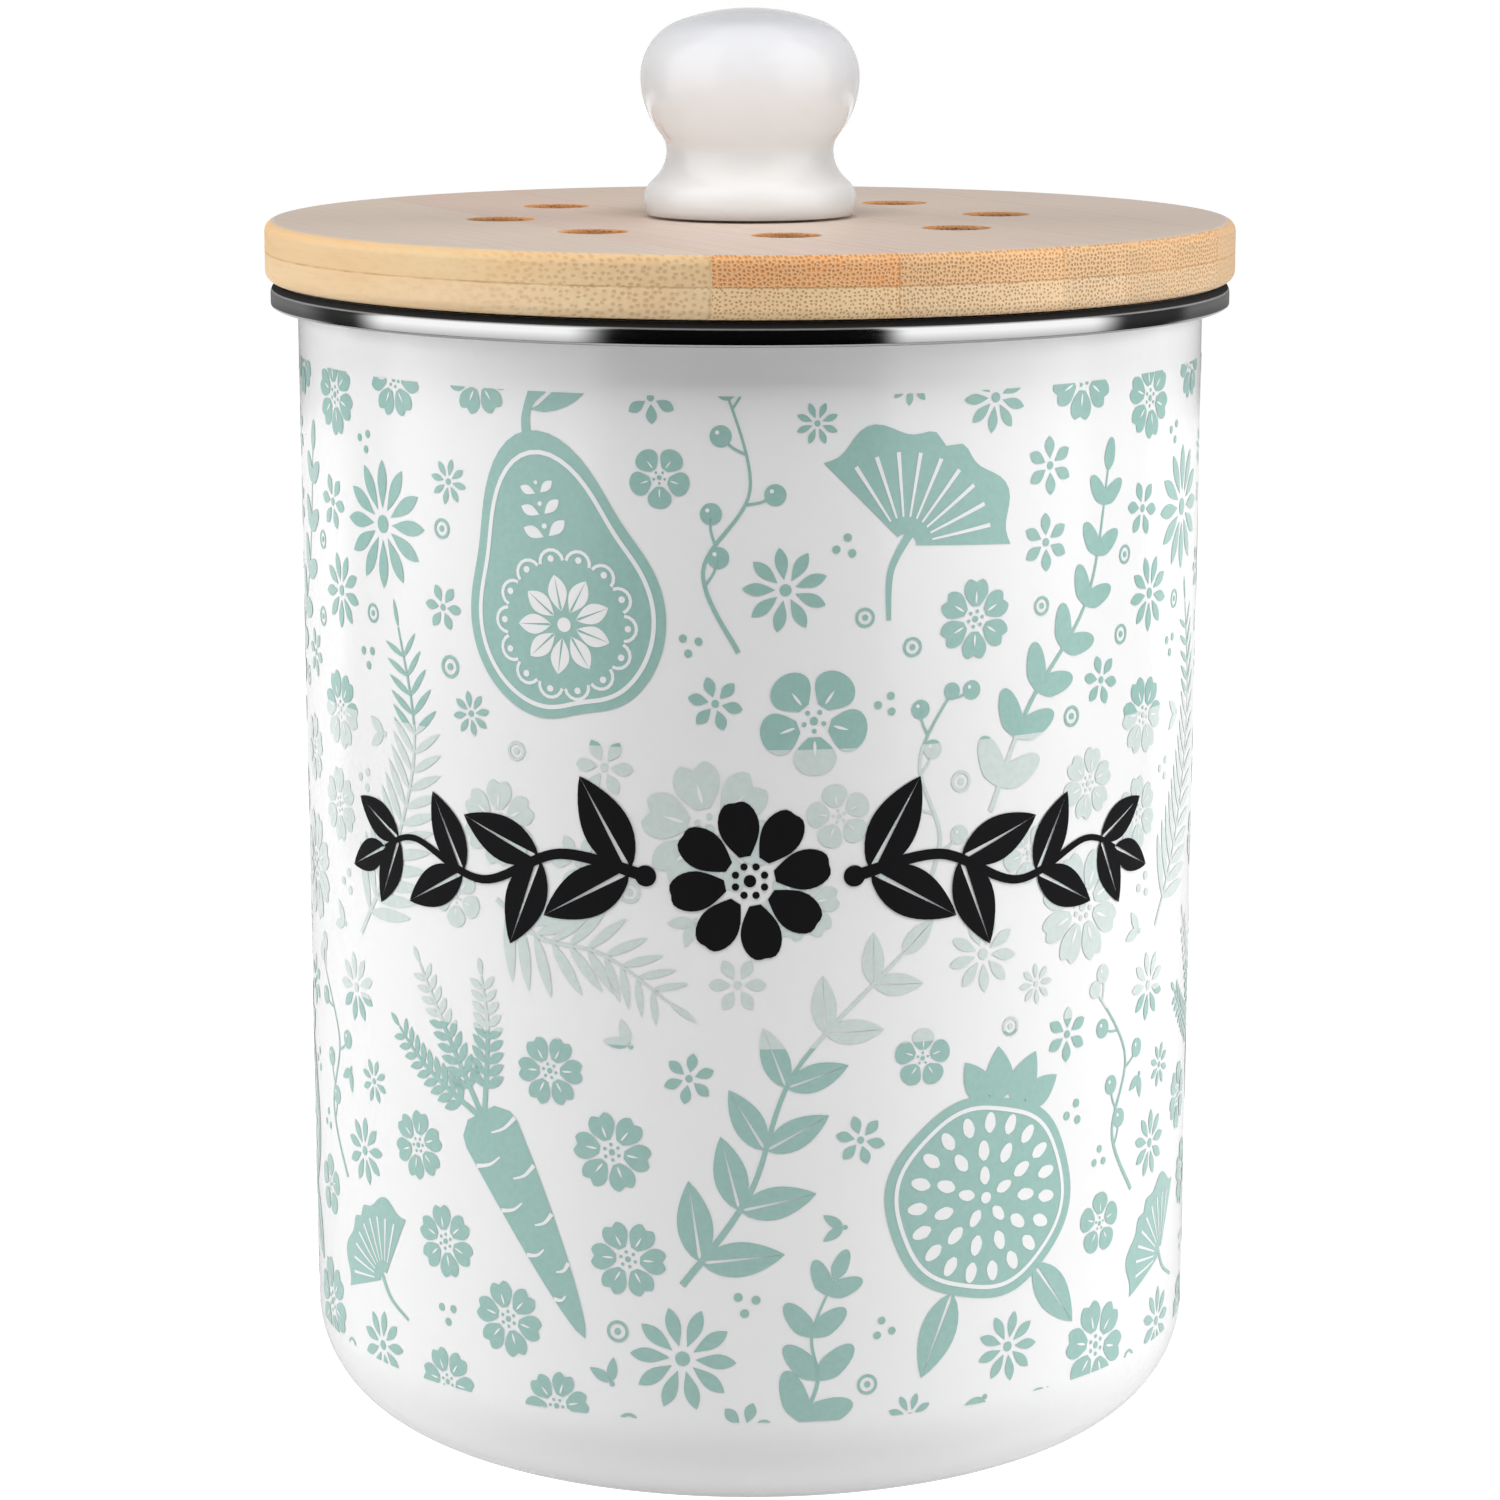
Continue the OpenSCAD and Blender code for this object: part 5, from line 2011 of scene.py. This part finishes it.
@dataclass
class FilterPad:
    """Cut disc of charcoal felt with soft edges, a slightly uneven face and loose fibres."""

    radius: float = 0.0597
    bottom: float = 0.2075
    top: float = 0.21525
    edge_r: float = 0.0012
    dimple: float = 0.00035
    dimple_scale: float = 190.0
    finer: float = 2.7
    finer_share: float = 0.5
    rim_share: float = 0.944
    longest: float = 0.0016
    sides: int = 180
    sharp: float = 60.0
    fill: float = 0.95
    finish: Felt = Felt()

    def build(self) -> None:
        """Puts the pad in place of its CAD node."""
        x, e = self.radius - self.edge_r, self.edge_r
        source = lathe("pad", densify([
            (0.0, self.bottom), *arc(x, self.bottom + e, e, -90, 0, 5), *arc(x, self.top - e, e, 0, 90, 5),
            (0.0, self.top),
        ], self.longest), self.sides, self.sharp)
        for vert in source.data.vertices:
            spot = vert.co * self.dimple_scale
            fine = self.finer_share * noise.noise(spot * self.finer)
            sunk = self.dimple * abs(noise.noise(spot) + fine)
            vert.co.z += sunk if vert.co.z < (self.bottom + self.top) / 2 else -sunk
            if vert.co.xy.length > self.radius * self.rim_share:
                vert.co.xy *= 1 - sunk / self.radius
        piece = fibre_tree().run(source, "filter_pad", {"Finish": self.finish.material()})
        LOG.info("filter_pad: %d faces", len(piece.data.polygons))
        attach(piece, "lid")
        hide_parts("charcoal_filter")


@dataclass
class Fittings:
    """The parts whose exact surfaces come straight from the frame, with their finishes."""

    nodes: dict[str, Object]
    steel: Metal = Metal("clip_steel", (0.66, 0.665, 0.67), 0.24, (900.0, 60.0, 900.0), 0.000004, 0.08)
    wire: Metal = Metal("wire_steel", (0.74, 0.745, 0.75), 0.14, (60.0, 60.0, 900.0), 0.000002, 0.05)
    screw: Metal = Metal("screw_steel", (0.6, 0.6, 0.61), 0.28, (700.0, 700.0, 700.0), 0.000004, 0.08)
    brass: Metal = Metal("insert_brass", (0.76, 0.56, 0.26), 0.26, (500.0, 500.0, 90.0), 0.000004, 0.08)
    liner: Moulded = Moulded("liner_plastic", (0.095, 0.1, 0.105), 0.42)
    grip: Moulded = Moulded("grip_plastic", (0.035, 0.035, 0.037), 0.5, 1100.0, 0.00002)
    silicone: Moulded = Moulded(
        "silicone", (0.76, 0.76, 0.74), 0.42, 900.0, 0.000006, 0.25, (0.5, 0.48, 0.45), 0.1
    )
    rubber: Moulded = Moulded("pad_rubber", (0.14, 0.13, 0.12), 0.75, 1500.0, 0.00002)

    def build(self) -> None:
        """Gives every kept node its finish, and a material slot of the same name."""
        finishes: dict[str, Paint] = {
            "liner_bucket": self.liner, "bail_wire": self.wire, "bail_grip": self.grip,
            "lid_seat_ring": Bamboo(Cut.EDGE), "lid_gasket": self.silicone, "knob_insert": self.brass,
            "knob_screw": self.screw, "knob_washer": self.screw, "knob_pad": self.rubber,
        }
        finishes |= {f"filter_clip_{i}": self.steel for i in (1, 2, 3)}
        finishes |= {f"clip_screw_{i}": self.screw for i in (1, 2, 3)}
        for name, finish in finishes.items():
            finish.on(self.nodes[name])
            LOG.info("%s: %s", name, finish.name)


# --- Studio ---

class Lights(Enum):
    """What a soft box lights."""

    ALL = "everything"
    KNOB = "the knob alone"
    ALL_BUT_KNOB = "everything but the knob"


@dataclass(frozen=True)
class Lamp:
    """A soft box: where it hangs round the can, how much light it gives, and on what."""

    azimuth: float
    elevation: float
    distance: float
    width: float
    height: float
    light: float
    on: Lights = Lights.ALL


@dataclass
class Studio:
    """Pale floor, white background, soft boxes, reflection cards and the camera."""

    lens: float = 111.9
    sensor: float = 36.0
    clip: Span = (0.01, 100.0)
    camera_at: tuple[float, float, float] = (0.0, -0.8713, 0.2886)
    camera_pitch: float = -10.612
    floor_r: float = 16.0
    floor_z: float = -0.0001
    floor_sides: int = 96
    floor_white: float = 0.68
    floor_shown: float = 0.62
    floor_glow: float = 1.52
    under_r: Span = (0.06, 0.086)
    under_light: float = 0.42
    ambient: float = 0.21
    sky: float = 0.6
    aim_z: float = 0.12
    ring_sides: int = 120
    card_outline: tuple[Point, ...] = (
        (0.55, 0.003), (1.17, 0.003), (1.25, 0.06), (1.25, 0.66), (1.08, 1.2), (0.72, 1.6),
    )
    card_tones: tuple[Point, ...] = (
        (-180, 0.2), (-130, 0.16), (-113, 0.03), (-104, 0.03), (-92, 1), (-42, 1),
        (-31, 0.003), (29, 0.003), (36, 1), (84, 1), (96, 0.03), (117, 0.03),
        (126, 0.14), (180, 0.2),
    )
    card_near: Point = (0.8, 1.12)
    card_near_tone: float = 0.18
    white_behind: Point = (112.0, 124.0)
    white_under: Point = (0.045, 0.06)
    white_tone: float = 0.8
    halo_outline: tuple[Point, ...] = ((0.5, 0.0), (0.5, 0.7))
    halo_sides: Point = (115.0, 150.0)
    halo_top: Point = (0.35, 0.65)
    halo_light: float = 0.5
    lamps: tuple[Lamp, ...] = (
        Lamp(-97, 11, 1.7, 1.2, 1.2, 0.94, Lights.ALL_BUT_KNOB),
        Lamp(94, 11, 1.7, 1.2, 1.2, 1.05, Lights.ALL_BUT_KNOB),
        Lamp(0, 66, 1.6, 1.3, 0.7, 0.76),
        Lamp(0, 1, 1.6, 1, 0.6, 0.42, Lights.KNOB),
        Lamp(-75, 4, 1.6, 1, 0.6, 0.33, Lights.KNOB),
        Lamp(75, 4, 1.6, 1, 0.6, 0.33, Lights.KNOB),
        Lamp(180, 12, 1.6, 1, 0.6, 0.5, Lights.KNOB),
    )

    @staticmethod
    def _toward(azimuth: float, elevation: float = 0.0) -> Vector:
        """Returns the direction from the can at an azimuth from the camera's side, in degrees."""
        a, e = math.radians(azimuth), math.radians(elevation)
        return Vector((math.sin(a) * math.cos(e), -math.cos(a) * math.cos(e), math.sin(e)))

    @staticmethod
    def _only(light: Object, on: Lights) -> None:
        """Limits what a light falls on.

        Args:
            light: The light.
            on: What it may light.
        """
        if on is Lights.ALL:
            return
        lit = bpy.data.collections.new("lit")
        lit.objects.link(bpy.data.objects["knob_glazed"])
        if on is Lights.ALL_BUT_KNOB:
            lit.collection_objects[0].light_linking.link_state = "EXCLUDE"
        light.light_linking.receiver_collection = lit

    def _floor(self) -> None:
        """Adds the floor: white in the picture, dimmed where the object shades it, clear from below."""
        mesh = bpy.data.meshes.new("floor")
        outline = [(*polar(self.floor_r, turn), self.floor_z) for turn in turns_of(self.floor_sides)]
        mesh.from_pydata(outline, [], [range(self.floor_sides)])
        new_object("floor", mesh)
        s = Shader("floor")
        matt = s.value("ShaderNodeBsdfDiffuse", {"Color": (self.floor_white,) * 3})
        glow = s.value("ShaderNodeEmission", {"Strength": self.floor_glow})
        seen = s.value("ShaderNodeLightPath", key="Is Camera Ray") * self.floor_shown
        mixed = s.value("ShaderNodeMixShader", {0: seen, 1: matt, 2: glow})
        strength = s.span(s.length(s.where), *self.under_r, self.under_light, 0.0)
        under = s.value("ShaderNodeEmission", {"Strength": strength})
        lit = s.value("ShaderNodeAddShader", {0: mixed, 1: under})
        back = s.value("ShaderNodeNewGeometry", key="Backfacing")
        clear = s.value("ShaderNodeBsdfTransparent")
        mesh.materials.append(s.show(s.value("ShaderNodeMixShader", {0: back, 1: lit, 2: clear})))

    def _ring(self, name: str, outline: tuple[Point, ...], material: Material) -> Object:
        """Adds a ring round the can that only reflections see.

        Args:
            name: Name of the ring.
            outline: Its radii and heights, from below up.
            material: Its material.

        Returns:
            The ring.
        """
        ways = [self._toward(turn) for turn in steps_of(-180.0, 180.0, self.ring_sides + 1)]
        mesh = bpy.data.meshes.new(name)
        mesh.from_pydata([(way.x * r, way.y * r, z) for way in ways for r, z in outline], [],
                         quads(len(ways), len(outline)))
        mesh.materials.append(material)
        ring = new_object(name, mesh)
        for ray in ("camera", "diffuse", "shadow", "transmission", "volume_scatter"):
            setattr(ring, f"visible_{ray}", False)
        return ring

    @staticmethod
    def _bearing(s: Shader) -> tuple[Value, Value]:
        """Returns a point's angle from the camera's side, in radians, and its height."""
        x, y, z = s.split(s.where)
        return s.maths("ARCTAN2", x, y * -1.0), z

    def _halo(self) -> None:
        """Adds a clear glow behind the object that only the knob's reflections see."""
        s = Shader("halo")
        turn, z = self._bearing(s)
        sides = (math.radians(side) for side in self.halo_sides)
        behind = s.span(s.maths("ABSOLUTE", turn), *sides, 0.0, self.halo_light)
        glow = s.value("ShaderNodeEmission", {"Strength": behind * s.span(z, *self.halo_top, 1.0, 0.0)})
        both = s.value("ShaderNodeAddShader", {0: glow, 1: s.value("ShaderNodeBsdfTransparent")})
        self._only(self._ring("halo", self.halo_outline, s.show(both)), Lights.KNOB)

    def _cards(self) -> None:
        """Adds a ring of cards, each tone running softly into the next."""
        s = Shader("cards")
        turn, z = self._bearing(s)
        stops = [((degrees + 180.0) / 360.0, (tone,) * 3) for degrees, tone in self.card_tones]
        tones = s.ramp(s.span(turn, -math.pi, math.pi), stops)
        near = s.span(s.length(s.where), *self.card_near, self.card_near_tone, 1.0)
        sides = (math.radians(side) for side in self.white_behind)
        white = s.span(s.maths("ABSOLUTE", turn), *sides) * s.span(z, *self.white_under, 1.0, 0.0)
        tones = s.mix(white, tones, (self.white_tone,) * 3)
        glow = s.value("ShaderNodeEmission", {"Color": tones, "Strength": s.maths("MAXIMUM", near, white)})
        self._ring("cards", self.card_outline, s.show(glow))

    def _lamp(self, lamp: Lamp) -> None:
        """Adds one soft box, turned to the can.

        Args:
            lamp: The soft box.
        """
        data = bpy.data.lights.new("soft_box", "AREA")
        data.shape = "RECTANGLE"
        data.size, data.size_y = lamp.width, lamp.height
        data.energy = lamp.light * math.pi ** 2 * lamp.distance ** 2
        box = new_object("soft_box", data)
        way = self._toward(lamp.azimuth, lamp.elevation)
        box.location = way * lamp.distance + Vector((0.0, 0.0, self.aim_z))
        box.rotation_mode = "QUATERNION"
        box.rotation_quaternion = (-way).to_track_quat("-Z", "Y")
        box.visible_glossy = False
        self._only(box, lamp.on)

    def _world(self) -> None:
        """Adds the ambient light, white where the camera sees it and a grey sky in reflections."""
        world = bpy.data.worlds.new("studio")
        bpy.context.scene.world = world
        world.use_nodes = True
        graph = Graph(world.node_tree)
        path = graph.node("ShaderNodeLightPath").outputs
        lit = graph.value("ShaderNodeMix", {0: path["Is Glossy Ray"], 2: self.ambient, 3: self.sky})
        shown = graph.value("ShaderNodeMix", {0: path["Is Camera Ray"], 2: lit, 3: 1.0})
        graph.feed(world.node_tree.nodes["Background"], {"Strength": shown, "Color": (1.0, 1.0, 1.0)})

    def _camera(self) -> None:
        """Adds the camera."""
        data = bpy.data.cameras.new("camera")
        data.lens, data.sensor_width = self.lens, self.sensor
        data.clip_start, data.clip_end = self.clip
        camera = new_object("camera", data)
        camera.location = self.camera_at
        camera.rotation_euler = (math.radians(90 + self.camera_pitch), 0.0, 0.0)
        bpy.context.scene.camera = camera

    def build(self) -> None:
        """Sets up everything round the object."""
        bpy.context.scene.view_settings.view_transform = "Standard"
        self._floor()
        self._cards()
        self._halo()
        for lamp in self.lamps:
            self._lamp(lamp)
        self._world()
        self._camera()


def main() -> None:
    """Builds the caddy piece by piece, then the studio."""
    logging.basicConfig(level=logging.INFO, format="%(name)s: %(message)s")
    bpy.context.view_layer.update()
    can = Can()
    for part in (
        can, RimBand(can), Print(can), Fittings(frame["nodes"]), LidBoard(), Knob(), FilterPad(), Studio(),
    ):
        part.build()


if __name__ == "__main__":
    main()
